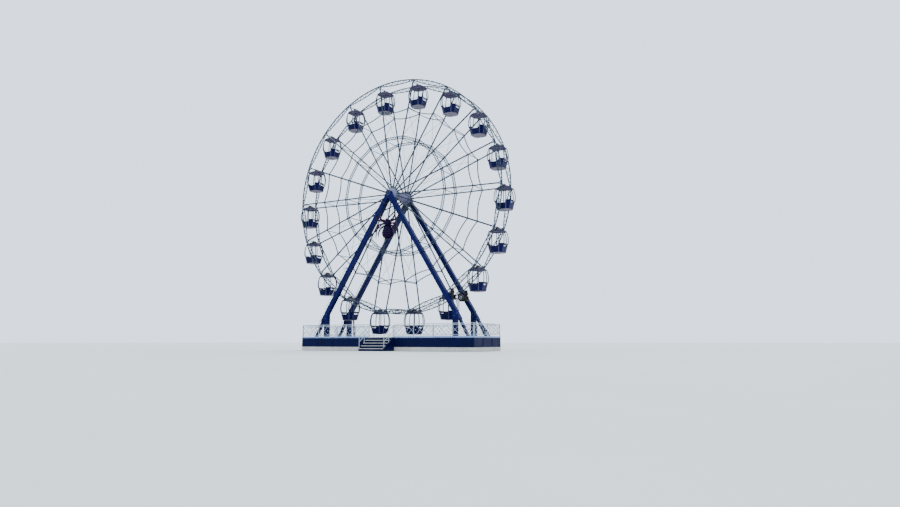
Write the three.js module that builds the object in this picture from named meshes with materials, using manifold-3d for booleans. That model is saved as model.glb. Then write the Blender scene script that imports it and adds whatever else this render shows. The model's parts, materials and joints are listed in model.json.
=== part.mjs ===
import * as THREE from "three";
import { mergeVertices } from "three/addons/utils/BufferGeometryUtils.js";
import Module from "manifold-3d";

// Fairground ferris wheel, millimetres, +Z up, wheel axis along Y, front of the wheel towards -Y.
// The origin lies on the ground under the middle of the wheel.

// Gap left between two pieces that rest on each other
const JOINT = 0.3;
// Depth by which a joined piece enters its neighbour
const BITE = 10;
// Reach of a cut past the face that it opens
const CUT = 50;

// Wheel
const HUB_HEIGHT = 12550;
const BAYS = 18;
const BAY_ANGLE = (2 * Math.PI) / BAYS;
const FIRST_NODE = THREE.MathUtils.degToRad(-0.7);
const TRACK_RADIUS = 9600;
const CHORD_SECTION = 80;
const BOW_SECTION = 60;
const BOW_NODE_RADIUS = 9540;
const BOW_MIDDLE_RADIUS = 9310;
const RIM_PLANE = 830;
const PIVOT_RADIUS = 9440;
const NODE_BLOCK_WIDTH = 150;
const NODE_BLOCK_HALF_DEPTH = 45;
const NODE_BLOCK_INNER_RADIUS = 9345;
const AXLE_RADIUS = 40;
const HUB_PLANE = 1100;
const HUB_PLATE_RADIUS = 500;
const HUB_PLATE_THICKNESS = 80;
const BARREL_RADIUS = 330;
const SHAFT_RADIUS = 110;
const SHAFT_END = 1750;
const SPOKE_SECTION = 90;
const SPOKE_START = 350;
const SPOKE_END = 9343;
const OUTER_RING_NODE_RADIUS = 7200;
const OUTER_RING_MIDDLE_RADIUS = 6930;
const OUTER_RING_SECTION = 60;
const INNER_RING_RADIUS = 4780;
const INNER_RING_DEPTH = 190;
const INNER_RING_SECTION = 45;
const SPACER_SECTION = 50;
const SPACER_OFFSET = 70;
// Shortening of a spacer that lets its square end clear the raking spoke
const SPACER_SLOPE = 1.5;

// Gondola, heights measured from its pivot
const HANGER_HALF_WIDTH = 75;
const HANGER_HALF_LENGTH = 220;
const CABIN_SIDES = 8;
const CORNER_TURN = Math.PI / 12;
const ROOF_TOP = -75;
const ROOF_CROWN = -90;
const ROOF_CROWN_RADIUS = 300;
const ROOF_EAVE = -295;
const ROOF_RADIUS = 705;
const ROOF_EDGE = 45;
const POST_SECTION = 40;
const POST_TOP_RADIUS = 665;
const POST_MIDDLE = -860;
const POST_MIDDLE_RADIUS = 805;
const POST_FOOT_RADIUS = 765;
const TUB_TOP = -1270;
const TUB_TOP_RADIUS = 785;
const TUB_BOTTOM = -1920;
const TUB_BOTTOM_RADIUS = 620;
const TUB_UNDERSIDE = -1980;
const TUB_WALL = 45;
const TUB_FLOOR = -1880;
const NOTCH_HALF_WIDTH = 325;
const NOTCH_BOTTOM = -1490;
const SEAT_HEIGHT = 340;
const SEAT_FRONT = 310;
const SEAT_HALF_WIDTH = 400;
// Reach of a cutting box past anything in the gondola
const CLEAR = 900;

// Supports
const LEG_PLANE = 1500;
const LEG_WIDTH = 340;
const LEG_DEPTH = 380;
const KNEE_X = 6030;
const KNEE_HEIGHT = 2960;
const COLUMN_X = 6020;
const COLUMN_WIDTH = 340;
const COLUMN_TOP = 3060;
const STRUT_TOP_X = 6150;
const STRUT_TOP_HEIGHT = 2850;
const STRUT_FOOT_X = 7250;
const STRUT_FOOT_HEIGHT = 800;
const STRUT_WIDTH = 180;
const STRUT_DEPTH = 260;
const HEAD_RADIUS = 335;
const STAY_RADIUS = 70;
const STAY_TOP_X = 5630;
const STAY_TOP_HEIGHT = 3600;
const STAY_FOOT_HEIGHT = 560;
const JACK_RADIUS = 75;
const TIE_SECTION = 140;
const TIE_HEIGHT = 550;
const SLOT_MARGIN = 20;

// Base
const CHASSIS_TOP = 900;
const CHASSIS_BOTTOM = 450;
const CHASSIS_HALF_LENGTH = 7700;
const CHASSIS_BEAM_WIDTH = 300;
const CROSS_BEAM_WIDTH = 250;
const CROSS_BEAM_X = [-7400, -6020, -2600, 2600, 6020, 7400];
const PAD_X = [-7300, -2600, 2600, 7300];
const BEARER_X = [-7550, -4300, -1500, 1500, 4300, 7550];
const BEARER_WIDTH = 100;
const BEARER_HALF_LENGTH = 2150;
const DECK_TOP = 1040;
const DECK_THICKNESS = 60;
const DECK_HALF_LENGTH = 7900;
const DECK_HALF_WIDTH = 2240;
const WELL_START = 5800;
const WELL_END = 7330;
const WELL_HALF_WIDTH = 240;
const SKIRT_TOP = 1130;
const SKIRT_THICKNESS = 50;
const SKIRT_GROUND_GAP = 10;
const RAIL_TOP = 2040;
const HANDRAIL_SECTION = 44;
const MIDDLE_RAIL_SECTION = 30;
const RAIL_POST_SECTION = 40;
const ENTRANCE_HALF_WIDTH = 1150;
const STEP_COUNT = 5;
const STEP_DEPTH = 280;
const FOOT_X = 6900;
const PAD_SIZE = 500;
const FOOT_Y = DECK_HALF_WIDTH + SKIRT_THICKNESS + STEP_COUNT * STEP_DEPTH + JOINT - PAD_SIZE / 2;
const PAD_HEIGHT = 40;

// Drive, distances from the centre of its tyre
const TYRE_RADIUS = 280;
const TYRE_WIDTH = 150;
const TYRE_ANGLE = THREE.MathUtils.degToRad(-58);
const TYRE_GAP = 5;
const STUB_RADIUS = 30;
const STUB_END = 770;
const UNIT_PLANE = 960;
const UNIT_LEFT = 260;
const UNIT_RIGHT = 480;
const UNIT_DROP = 320;
const UNIT_RISE = 260;
const MOTOR_OFFSET = 300;
const MOTOR_PLANE = 1130;
const MOTOR_RADIUS = 150;
const MOTOR_HEIGHT = 560;

// Spider figure, heights below the hub, in pairs of limbs of elbow and tip
const SPIDER_PLANE = 1620;
const THORAX_DROP = 2470;
const THORAX_RADII = [245, 230, 310];
const ABDOMEN_DROP = 3210;
const ABDOMEN_RADII = [490, 400, 580];
const LIMB_SECTION = 70;
const SHIN_SECTION = 60;
const LIMBS = [
  { root: 2380, elbow: [550, 2180], tip: [720, 1560] },
  { root: 2440, elbow: [800, 2250], tip: [1130, 1740] },
  { root: 2540, elbow: [820, 2590], tip: [1060, 3660] },
  { root: 2640, elbow: [660, 2890], tip: [830, 3590] },
];

const NAVY = 0x1c2152;
const BLUE = 0x12388f;
const WHITE = 0xe6e6e2;
const PALE = 0xd9d3c4;
const PLUM = 0x4a1a3c;
const BLACK = 0x15151a;
const STEEL = 0x9a9da0;

const wasm = await Module();
wasm.setup();

const part = new THREE.Group();

function solid(geometry) {
  const bare = geometry.clone();
  bare.deleteAttribute("normal");
  bare.deleteAttribute("uv");
  const merged = mergeVertices(bare, 1e-3);
  return new wasm.Manifold(
    new wasm.Mesh({
      numProp: 3,
      vertProperties: merged.attributes.position.array,
      triVerts: new Uint32Array(merged.index.array),
    }),
  );
}

function join(pieces) {
  return wasm.Manifold.union(pieces);
}

function add(name, body, colour, roughness, metalness, position) {
  const data = body.getMesh();
  const geometry = new THREE.BufferGeometry();
  geometry.setAttribute("position", new THREE.BufferAttribute(data.vertProperties, 3));
  geometry.setIndex(new THREE.BufferAttribute(data.triVerts, 1));
  geometry.computeVertexNormals();
  const material = new THREE.MeshStandardMaterial({ color: colour, roughness, metalness });
  const mesh = new THREE.Mesh(geometry, material);
  mesh.name = name;
  if (position) {
    mesh.position.copy(position);
  }
  part.add(mesh);
}

// Matrix that lays local Z from a to b and keeps local Y as close to the wheel's axis as it can.
function along(a, b) {
  const z = b.clone().sub(a).normalize();
  const guide = Math.abs(z.y) > 0.9 ? new THREE.Vector3(1, 0, 0) : new THREE.Vector3(0, 1, 0);
  const x = guide.clone().cross(z).normalize();
  const y = z.clone().cross(x);
  const middle = a.clone().add(b).multiplyScalar(0.5);
  return new THREE.Matrix4().makeBasis(x, y, z).setPosition(middle);
}

function at(x, y, z) {
  return new THREE.Vector3(x, y, z);
}

// Radius of a bore's corners that lets a shaft with as many sides turn clear of its flats.
function boreFor(shaft, sides) {
  return (shaft + JOINT) / Math.cos(Math.PI / sides);
}

// Rectangular bar, its width square to the wheel's axis and its depth along it.
function bar(a, b, width, depth) {
  const geometry = new THREE.BoxGeometry(width, depth, a.distanceTo(b));
  return solid(geometry.applyMatrix4(along(a, b)));
}

function rod(a, b, radius, sides, phase = 0) {
  const geometry = new THREE.CylinderGeometry(radius, radius, a.distanceTo(b), sides);
  geometry.rotateX(Math.PI / 2);
  geometry.rotateZ(phase);
  return solid(geometry.applyMatrix4(along(a, b)));
}

function box(x0, x1, y0, y1, z0, z1) {
  const geometry = new THREE.BoxGeometry(x1 - x0, y1 - y0, z1 - z0);
  return solid(geometry.translate((x0 + x1) / 2, (y0 + y1) / 2, (z0 + z1) / 2));
}

// Direction of one of a cabin's eight corners, which stand in pairs beside its diagonals.
function cabinCorner(i) {
  const diagonal = (Math.floor(i / 2) * Math.PI) / 2 + Math.PI / 4;
  return i % 2 === 0 ? diagonal - CORNER_TURN : diagonal + CORNER_TURN;
}

// Solid about Z with four wide sides facing along X and Y and a narrow panel at each diagonal.
function cabinForm(profile) {
  const geometry = new THREE.LatheGeometry(
    profile.map(([r, z]) => new THREE.Vector2(r, z)),
    CABIN_SIDES,
  );
  geometry.rotateX(Math.PI / 2);
  const positions = geometry.getAttribute("position");
  for (let i = 0; i < positions.count; i += 1) {
    const x = positions.getX(i);
    const y = positions.getY(i);
    const step = Math.round((Math.atan2(y, x) / (2 * Math.PI)) * CABIN_SIDES);
    const angle = cabinCorner((step + CABIN_SIDES) % CABIN_SIDES);
    const radius = Math.hypot(x, y);
    positions.setXY(i, radius * Math.cos(angle), radius * Math.sin(angle));
  }
  return solid(geometry);
}

// Point in the wheel, from its radius, its angle and its place along the axis.
function polar(radius, angle, y) {
  return at(radius * Math.cos(angle), y, HUB_HEIGHT + radius * Math.sin(angle));
}

// Closed ring about the hub, of straight lengths, with a radius of its own at each station.
function hoop(count, radiusAt, y, width, depth) {
  const corners = [
    [-0.5, -0.5],
    [0.5, -0.5],
    [0.5, 0.5],
    [-0.5, 0.5],
  ];
  const positions = [];
  const index = [];
  for (let i = 0; i < count; i += 1) {
    const angle = FIRST_NODE + (i * 2 * Math.PI) / count;
    const next = (i + 1) % count;
    corners.forEach(([dr, dy], c) => {
      const p = polar(radiusAt(i) + dr * width, angle, y + dy * depth);
      positions.push(p.x, p.y, p.z);
      const d = (c + 1) % 4;
      index.push(4 * i + c, 4 * next + d, 4 * next + c);
      index.push(4 * i + c, 4 * i + d, 4 * next + d);
    });
  }
  const geometry = new THREE.BufferGeometry();
  geometry.setAttribute("position", new THREE.Float32BufferAttribute(positions, 3));
  geometry.setIndex(index);
  return solid(geometry);
}

function nodeAngle(bay) {
  return FIRST_NODE + bay * BAY_ANGLE;
}

// Distance of a spoke's centre line from the wheel's middle plane.
function spokePlane(radius) {
  return HUB_PLANE - ((HUB_PLANE - RIM_PLANE) * radius) / PIVOT_RADIUS;
}

function rim(side) {
  const y = side * RIM_PLANE;
  const depth = 2 * NODE_BLOCK_HALF_DEPTH;
  const pieces = [
    hoop(BAYS * 3, () => TRACK_RADIUS, y, CHORD_SECTION, CHORD_SECTION),
    hoop(
      BAYS * 3,
      (i) => (i % 3 === 0 ? BOW_NODE_RADIUS : BOW_MIDDLE_RADIUS),
      y,
      BOW_SECTION,
      BOW_SECTION,
    ),
  ];
  for (let bay = 0; bay < BAYS; bay += 1) {
    const angle = nodeAngle(bay);
    pieces.push(
      bar(
        polar(NODE_BLOCK_INNER_RADIUS, angle, y),
        polar(TRACK_RADIUS, angle, y),
        NODE_BLOCK_WIDTH,
        depth,
      ),
    );
    if (side > 0) {
      const inner = RIM_PLANE - NODE_BLOCK_HALF_DEPTH;
      pieces.push(
        rod(
          polar(PIVOT_RADIUS, angle, inner + BITE),
          polar(PIVOT_RADIUS, angle, JOINT - inner),
          AXLE_RADIUS,
          8,
          Math.PI / 8,
        ),
      );
    }
  }
  return join(pieces);
}

function spokes(side) {
  const y = side * HUB_PLANE;
  const pieces = [
    rod(
      at(0, y - HUB_PLATE_THICKNESS / 2, HUB_HEIGHT),
      at(0, y + HUB_PLATE_THICKNESS / 2, HUB_HEIGHT),
      HUB_PLATE_RADIUS,
      24,
    ),
    rod(
      at(0, y, HUB_HEIGHT),
      at(0, side * SHAFT_END, HUB_HEIGHT),
      SHAFT_RADIUS,
      24,
      Math.PI / 24,
    ),
  ];
  for (let bay = 0; bay < BAYS; bay += 1) {
    const angle = nodeAngle(bay);
    pieces.push(
      bar(
        polar(SPOKE_START, angle, side * spokePlane(SPOKE_START)),
        polar(SPOKE_END, angle, side * spokePlane(SPOKE_END)),
        SPOKE_SECTION,
        SPOKE_SECTION,
      ),
    );
    if (side > 0) {
      for (const r of [
        OUTER_RING_NODE_RADIUS + SPACER_OFFSET,
        INNER_RING_RADIUS - INNER_RING_DEPTH / 2 - SPACER_OFFSET,
      ]) {
        const reach = spokePlane(r) - SPOKE_SECTION / 2 - SPACER_SLOPE;
        const section = SPACER_SECTION;
        pieces.push(bar(polar(r, angle, reach + 2 * BITE), polar(r, angle, -reach), section, section));
      }
    }
  }
  return join(pieces);
}

// Place of a ring of the given width on the inner faces of the spokes.
function ringPlane(radius, width, depth) {
  return spokePlane(radius + 0.55 * width) - SPOKE_SECTION / 2 - JOINT - depth / 2;
}

function outerRing(side) {
  const section = OUTER_RING_SECTION;
  const y = side * ringPlane(OUTER_RING_NODE_RADIUS, section, section);
  const radiusAt = (i) => (i % 3 === 0 ? OUTER_RING_NODE_RADIUS : OUTER_RING_MIDDLE_RADIUS);
  return hoop(BAYS * 3, radiusAt, y, section, section);
}

function innerRing(side) {
  const section = INNER_RING_SECTION;
  const inside = INNER_RING_RADIUS - INNER_RING_DEPTH / 2;
  const outside = INNER_RING_RADIUS + INNER_RING_DEPTH / 2;
  const y = side * ringPlane(outside, section, section);
  const pieces = [
    hoop(BAYS, () => inside, y, section, section),
    hoop(BAYS, () => outside, y, section, section),
  ];
  for (let bay = 0; bay < BAYS; bay += 1) {
    const angle = nodeAngle(bay);
    pieces.push(bar(polar(inside, angle, y), polar(outside, angle, y), section * 2, section - 10));
  }
  return join(pieces);
}

function tub() {
  const shell = cabinForm([
    [0, TUB_UNDERSIDE],
    [TUB_BOTTOM_RADIUS, TUB_BOTTOM],
    [TUB_TOP_RADIUS, TUB_TOP],
    [0, TUB_TOP],
  ]);
  const hollow = cabinForm([
    [0, TUB_FLOOR],
    [TUB_BOTTOM_RADIUS - TUB_WALL, TUB_FLOOR],
    [TUB_TOP_RADIUS - TUB_WALL, TUB_TOP + CUT],
    [0, TUB_TOP + CUT],
  ]);
  const half = NOTCH_HALF_WIDTH;
  const notches = join([
    box(-half, half, -CLEAR, CLEAR, NOTCH_BOTTOM, TUB_TOP + CUT),
    box(-CLEAR, CLEAR, -half, half, NOTCH_BOTTOM, TUB_TOP + CUT),
  ]);
  const seats = [-1, 1].map((side) =>
    box(
      Math.min(side * SEAT_FRONT, side * CLEAR),
      Math.max(side * SEAT_FRONT, side * CLEAR),
      -SEAT_HALF_WIDTH,
      SEAT_HALF_WIDTH,
      TUB_FLOOR - BITE,
      TUB_FLOOR + SEAT_HEIGHT,
    ).intersect(shell),
  );
  return join([shell.subtract(hollow).subtract(notches), ...seats]);
}

// Post in two straight lengths, bowed outwards at its middle.
function post(angle) {
  const half = POST_SECTION / 2;
  const stations = [
    [POST_FOOT_RADIUS, TUB_TOP - BITE],
    [POST_MIDDLE_RADIUS, POST_MIDDLE],
    [POST_TOP_RADIUS, ROOF_EAVE - ROOF_EDGE + BITE],
  ];
  const outside = stations.map(([r, z]) => new THREE.Vector2(r + half, z));
  const inside = stations.map(([r, z]) => new THREE.Vector2(r - half, z));
  const outline = new THREE.Shape([...outside, ...inside.reverse()]);
  const geometry = new THREE.ExtrudeGeometry(outline, { depth: POST_SECTION, bevelEnabled: false });
  geometry.translate(0, 0, -half);
  geometry.rotateX(Math.PI / 2);
  return solid(geometry.rotateZ(angle));
}

function gondola() {
  const roof = cabinForm([
    [0, ROOF_EAVE - ROOF_EDGE],
    [ROOF_RADIUS, ROOF_EAVE - ROOF_EDGE],
    [ROOF_RADIUS, ROOF_EAVE],
    [ROOF_CROWN_RADIUS, ROOF_CROWN],
    [0, ROOF_TOP],
  ]);
  const posts = Array.from({ length: CABIN_SIDES }, (_, i) => post(cabinCorner(i)));
  const hanger = box(
    -HANGER_HALF_WIDTH,
    HANGER_HALF_WIDTH,
    -HANGER_HALF_LENGTH,
    HANGER_HALF_LENGTH,
    ROOF_EAVE - BITE,
    HANGER_HALF_WIDTH,
  );
  const bore = rod(at(0, -CLEAR, 0), at(0, CLEAR, 0), boreFor(AXLE_RADIUS, 8), 8);
  return join([tub(), roof, hanger, ...posts]).subtract(bore);
}

// Solid outline of a bearing head.
function head(side, growth) {
  return rod(
    at(0, side * (LEG_PLANE - LEG_DEPTH / 2 - growth), HUB_HEIGHT),
    at(0, side * (LEG_PLANE + LEG_DEPTH / 2 + growth), HUB_HEIGHT),
    HEAD_RADIUS + growth,
    24,
  );
}

function bearingHead(side) {
  const inner = at(0, side * HUB_PLANE, HUB_HEIGHT);
  const outer = at(0, side * (SHAFT_END + CUT), HUB_HEIGHT);
  return head(side, 0).subtract(rod(inner, outer, boreFor(SHAFT_RADIUS, 24), 24));
}

// Leg of the A-frame with its column and raking strut, grown by the gap its neighbours keep.
function leg(x, side, growth) {
  const y = side * LEG_PLANE;
  const more = 2 * growth;
  const beam = bar(
    at(0, y, HUB_HEIGHT),
    at(x * KNEE_X, y, KNEE_HEIGHT),
    LEG_WIDTH + more,
    LEG_DEPTH + more,
  );
  const column = box(
    x * COLUMN_X - COLUMN_WIDTH / 2 - growth,
    x * COLUMN_X + COLUMN_WIDTH / 2 + growth,
    y - LEG_DEPTH / 2 - growth,
    y + LEG_DEPTH / 2 + growth,
    CHASSIS_TOP - growth,
    COLUMN_TOP + growth,
  );
  const strut = bar(
    at(x * STRUT_TOP_X, y, STRUT_TOP_HEIGHT),
    at(x * STRUT_FOOT_X, y, STRUT_FOOT_HEIGHT),
    STRUT_WIDTH + more,
    STRUT_DEPTH + more,
  );
  const reach = 2 * STRUT_FOOT_X;
  const ground = box(-reach, reach, -reach, reach, 0, CHASSIS_TOP - growth);
  return join([beam, column, strut.subtract(ground)]).subtract(head(side, JOINT));
}

// Raking stay from the leg to an outrigger foot beside the base.
function stay(x, side) {
  const foot = at(x * FOOT_X, side * FOOT_Y, STAY_FOOT_HEIGHT);
  const top = at(x * STAY_TOP_X, side * LEG_PLANE, STAY_TOP_HEIGHT);
  const inner = side * (LEG_PLANE + CHASSIS_BEAM_WIDTH / 2 + JOINT);
  const half = PAD_SIZE / 2;
  const tie = TIE_SECTION / 2;
  const ground = PAD_HEIGHT - BITE;
  return join([
    rod(foot, top, STAY_RADIUS, 8),
    rod(at(foot.x, foot.y, ground), at(foot.x, foot.y, foot.z + 2 * CUT), JACK_RADIUS, 8),
    box(foot.x - half, foot.x + half, foot.y - half, foot.y + half, 0, PAD_HEIGHT),
    box(
      foot.x - tie,
      foot.x + tie,
      Math.min(inner, foot.y),
      Math.max(inner, foot.y),
      TIE_HEIGHT - tie,
      TIE_HEIGHT + tie,
    ),
  ]).subtract(leg(x, side, JOINT));
}

function chassis() {
  const pieces = [];
  const half = CHASSIS_BEAM_WIDTH / 2;
  const cross = CROSS_BEAM_WIDTH / 2;
  const pad = PAD_SIZE / 2;
  const top = CHASSIS_TOP - JOINT;
  const crossTop = top - 2 * CUT;
  for (const side of [-1, 1]) {
    const y = side * LEG_PLANE;
    pieces.push(
      box(-CHASSIS_HALF_LENGTH, CHASSIS_HALF_LENGTH, y - half, y + half, CHASSIS_BOTTOM, top),
    );
    for (const x of PAD_X) {
      pieces.push(rod(at(x, y, PAD_HEIGHT - BITE), at(x, y, CHASSIS_BOTTOM + CUT), JACK_RADIUS, 8));
      pieces.push(box(x - pad, x + pad, y - pad, y + pad, 0, PAD_HEIGHT));
    }
  }
  for (const x of CROSS_BEAM_X) {
    const bottom = CHASSIS_BOTTOM + CUT;
    pieces.push(box(x - cross, x + cross, -LEG_PLANE, LEG_PLANE, bottom, crossTop));
  }
  return join(pieces);
}

function deck() {
  const bottom = DECK_TOP - DECK_THICKNESS;
  const pieces = [
    box(
      -DECK_HALF_LENGTH,
      DECK_HALF_LENGTH,
      -DECK_HALF_WIDTH,
      DECK_HALF_WIDTH,
      bottom,
      DECK_TOP,
    ),
  ];
  const half = BEARER_WIDTH / 2;
  const end = BEARER_HALF_LENGTH;
  for (const x of BEARER_X) {
    pieces.push(box(x - half, x + half, -end, end, CHASSIS_TOP, bottom + BITE));
  }
  const wells = [];
  for (const x of [-1, 1]) {
    for (const side of [-1, 1]) {
      wells.push(
        box(
          Math.min(x * WELL_START, x * WELL_END),
          Math.max(x * WELL_START, x * WELL_END),
          side * LEG_PLANE - WELL_HALF_WIDTH,
          side * LEG_PLANE + WELL_HALF_WIDTH,
          CHASSIS_TOP - CUT,
          DECK_TOP + CUT,
        ),
      );
    }
  }
  return join(pieces).subtract(join(wells));
}

// Skirt along one long side of the base, with the railing that stands on it.
function longFence(side) {
  const face = side * (DECK_HALF_WIDTH + JOINT);
  const back = side * (DECK_HALF_WIDTH + SKIRT_THICKNESS);
  const low = Math.min(face, back);
  const high = Math.max(face, back);
  const reach = DECK_HALF_LENGTH + SKIRT_THICKNESS;
  let skirt = box(-reach, reach, low, high, SKIRT_GROUND_GAP, SKIRT_TOP);
  const middle = (low + high) / 2;
  const jamb = side < 0 ? ENTRANCE_HALF_WIDTH + RAIL_POST_SECTION : 0;
  if (side < 0) {
    const door = box(
      -ENTRANCE_HALF_WIDTH,
      ENTRANCE_HALF_WIDTH,
      low - CUT,
      high + CUT,
      DECK_TOP,
      SKIRT_TOP + CUT,
    );
    skirt = skirt.subtract(door);
  } else {
    const half = TIE_SECTION / 2 + SLOT_MARGIN;
    const bottom = TIE_HEIGHT - half;
    const top = TIE_HEIGHT + half;
    const slots = [-FOOT_X, FOOT_X].map((x) =>
      box(x - half, x + half, low - CUT, high + CUT, bottom, top),
    );
    skirt = skirt.subtract(join(slots));
  }
  return join([
    skirt,
    railing(at(-DECK_HALF_LENGTH, middle, 0), at(-jamb, middle, 0), 4),
    railing(at(jamb, middle, 0), at(DECK_HALF_LENGTH, middle, 0), 4),
  ]);
}

function endFence(x) {
  const face = x * (DECK_HALF_LENGTH + JOINT);
  const back = x * (DECK_HALF_LENGTH + SKIRT_THICKNESS);
  const middle = (face + back) / 2;
  const reach = DECK_HALF_WIDTH - SKIRT_THICKNESS - BITE;
  return join([
    box(
      Math.min(face, back),
      Math.max(face, back),
      -DECK_HALF_WIDTH,
      DECK_HALF_WIDTH,
      SKIRT_GROUND_GAP,
      SKIRT_TOP,
    ),
    railing(at(middle, -reach, 0), at(middle, reach, 0), 2),
  ]);
}

// Railing on a skirt between two points: posts, a handrail and a middle rail.
function railing(a, b, bays) {
  const up = (p, z) => at(p.x, p.y, z);
  const middle = (SKIRT_TOP + RAIL_TOP) / 2;
  const pieces = [
    bar(up(a, RAIL_TOP), up(b, RAIL_TOP), HANDRAIL_SECTION, HANDRAIL_SECTION),
    bar(up(a, middle), up(b, middle), MIDDLE_RAIL_SECTION, MIDDLE_RAIL_SECTION),
  ];
  for (let i = 0; i <= bays; i += 1) {
    const p = a.clone().lerp(b, i / bays);
    pieces.push(bar(up(p, SKIRT_TOP - CUT), up(p, RAIL_TOP), RAIL_POST_SECTION, RAIL_POST_SECTION));
  }
  return join(pieces);
}

function steps() {
  const pieces = [];
  const rise = DECK_TOP / STEP_COUNT;
  const start = DECK_HALF_WIDTH + SKIRT_THICKNESS + JOINT;
  for (let i = 0; i < STEP_COUNT; i += 1) {
    const reach = start + (i + 1) * STEP_DEPTH;
    const width = ENTRANCE_HALF_WIDTH;
    pieces.push(box(-width, width, -reach, -start, 0, DECK_TOP - i * rise));
  }
  return join(pieces);
}

function tyreCentre(side) {
  const radius = TRACK_RADIUS + CHORD_SECTION / 2 + TYRE_GAP + TYRE_RADIUS;
  return polar(radius, TYRE_ANGLE, side * RIM_PLANE);
}

function driveUnit(side) {
  const c = tyreCentre(side);
  const inner = side * UNIT_PLANE;
  const outer = side * (LEG_PLANE - LEG_DEPTH / 2 - JOINT);
  const motorX = c.x + MOTOR_OFFSET;
  const motorY = side * MOTOR_PLANE;
  return join([
    box(
      c.x - UNIT_LEFT,
      c.x + UNIT_RIGHT,
      Math.min(inner, outer),
      Math.max(inner, outer),
      c.z - UNIT_DROP,
      c.z + UNIT_RISE,
    ),
    rod(
      at(c.x, inner + side * CUT, c.z),
      at(c.x, side * STUB_END, c.z),
      STUB_RADIUS,
      8,
      Math.PI / 8,
    ),
    rod(at(motorX, motorY, c.z), at(motorX, motorY, c.z + MOTOR_HEIGHT), MOTOR_RADIUS, 12),
  ]);
}

function driveTyre(side) {
  const c = tyreCentre(side);
  const half = TYRE_WIDTH / 2;
  const near = c.y - half;
  const far = c.y + half;
  return rod(at(c.x, near, c.z), at(c.x, far, c.z), TYRE_RADIUS, 18).subtract(
    rod(at(c.x, near - CUT, c.z), at(c.x, far + CUT, c.z), boreFor(STUB_RADIUS, 8), 8),
  );
}

function ball(centre, radii) {
  const geometry = new THREE.SphereGeometry(1, 12, 8);
  geometry.scale(...radii);
  return solid(geometry.translate(centre.x, centre.y, centre.z));
}

// Spider figure hung between the front legs under the hub, its second limbs on their faces.
function spider() {
  const front = -LEG_PLANE - LEG_DEPTH / 2 - SHIN_SECTION / 2;
  const below = (x, y, drop) => at(x, y, HUB_HEIGHT - drop);
  const pieces = [
    ball(below(0, -SPIDER_PLANE, ABDOMEN_DROP), ABDOMEN_RADII),
    ball(below(0, -SPIDER_PLANE, THORAX_DROP), THORAX_RADII),
  ];
  for (const side of [-1, 1]) {
    for (const { root, elbow, tip } of LIMBS) {
      const bend = below(side * elbow[0], front, elbow[1]);
      const end = below(side * tip[0], front, tip[1]);
      const overlap = bend.clone().sub(end).setLength(LIMB_SECTION / 2);
      pieces.push(bar(below(0, -SPIDER_PLANE, root), bend, LIMB_SECTION, LIMB_SECTION));
      pieces.push(bar(bend.clone().add(overlap), end, SHIN_SECTION, SHIN_SECTION));
    }
  }
  return join(pieces).subtract(leg(-1, -1, JOINT)).subtract(leg(1, -1, JOINT));
}

const sides = [
  ["front", -1],
  ["rear", 1],
];

add(
  "hub_barrel",
  rod(
    at(0, -HUB_PLANE + HUB_PLATE_THICKNESS / 2 + JOINT, HUB_HEIGHT),
    at(0, HUB_PLANE - HUB_PLATE_THICKNESS / 2 - JOINT, HUB_HEIGHT),
    BARREL_RADIUS,
    20,
  ),
  WHITE,
  0.5,
  0.3,
);

for (const [name, side] of sides) {
  add(name + "_spokes", spokes(side), WHITE, 0.5, 0.3);
  add(name + "_rim", rim(side), WHITE, 0.5, 0.3);
  add(name + "_outer_ring", outerRing(side), WHITE, 0.5, 0.3);
  add(name + "_inner_ring", innerRing(side), WHITE, 0.5, 0.3);
}

const cabin = gondola();
for (let bay = 0; bay < BAYS; bay += 1) {
  const number = String(bay + 1).padStart(2, "0");
  add("gondola_" + number, cabin, NAVY, 0.4, 0.1, polar(PIVOT_RADIUS, nodeAngle(bay), 0));
}

for (const [name, side] of sides) {
  add(name + "_bearing_head", bearingHead(side), BLUE, 0.45, 0.2);
  add(name + "_left_leg", leg(-1, side, 0), BLUE, 0.45, 0.2);
  add(name + "_right_leg", leg(1, side, 0), BLUE, 0.45, 0.2);
  add(name + "_drive_unit", driveUnit(side), BLACK, 0.5, 0.3);
  add(name + "_drive_tyre", driveTyre(side), BLACK, 0.85, 0);
  add(name + "_fence", longFence(side), NAVY, 0.5, 0.1);
}

add("left_fence", endFence(-1), NAVY, 0.5, 0.1);
add("right_fence", endFence(1), NAVY, 0.5, 0.1);
add("front_steps", steps(), PALE, 0.7, 0.1);
add("rear_left_stay", stay(-1, 1), STEEL, 0.5, 0.5);
add("rear_right_stay", stay(1, 1), STEEL, 0.5, 0.5);
add("chassis", chassis(), STEEL, 0.5, 0.5);
add("deck", deck(), STEEL, 0.6, 0.4);
add("spider_figure", spider(), PLUM, 0.5, 0.1);

export default part;
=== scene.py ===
"""Looks of the fairground ferris wheel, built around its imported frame. Metres, +Z up, front towards -Y."""
import json
from itertools import product
from math import atan2, cos, pi, radians, sin, sqrt

import bmesh
import bpy
from mathutils import Matrix, Vector


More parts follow.
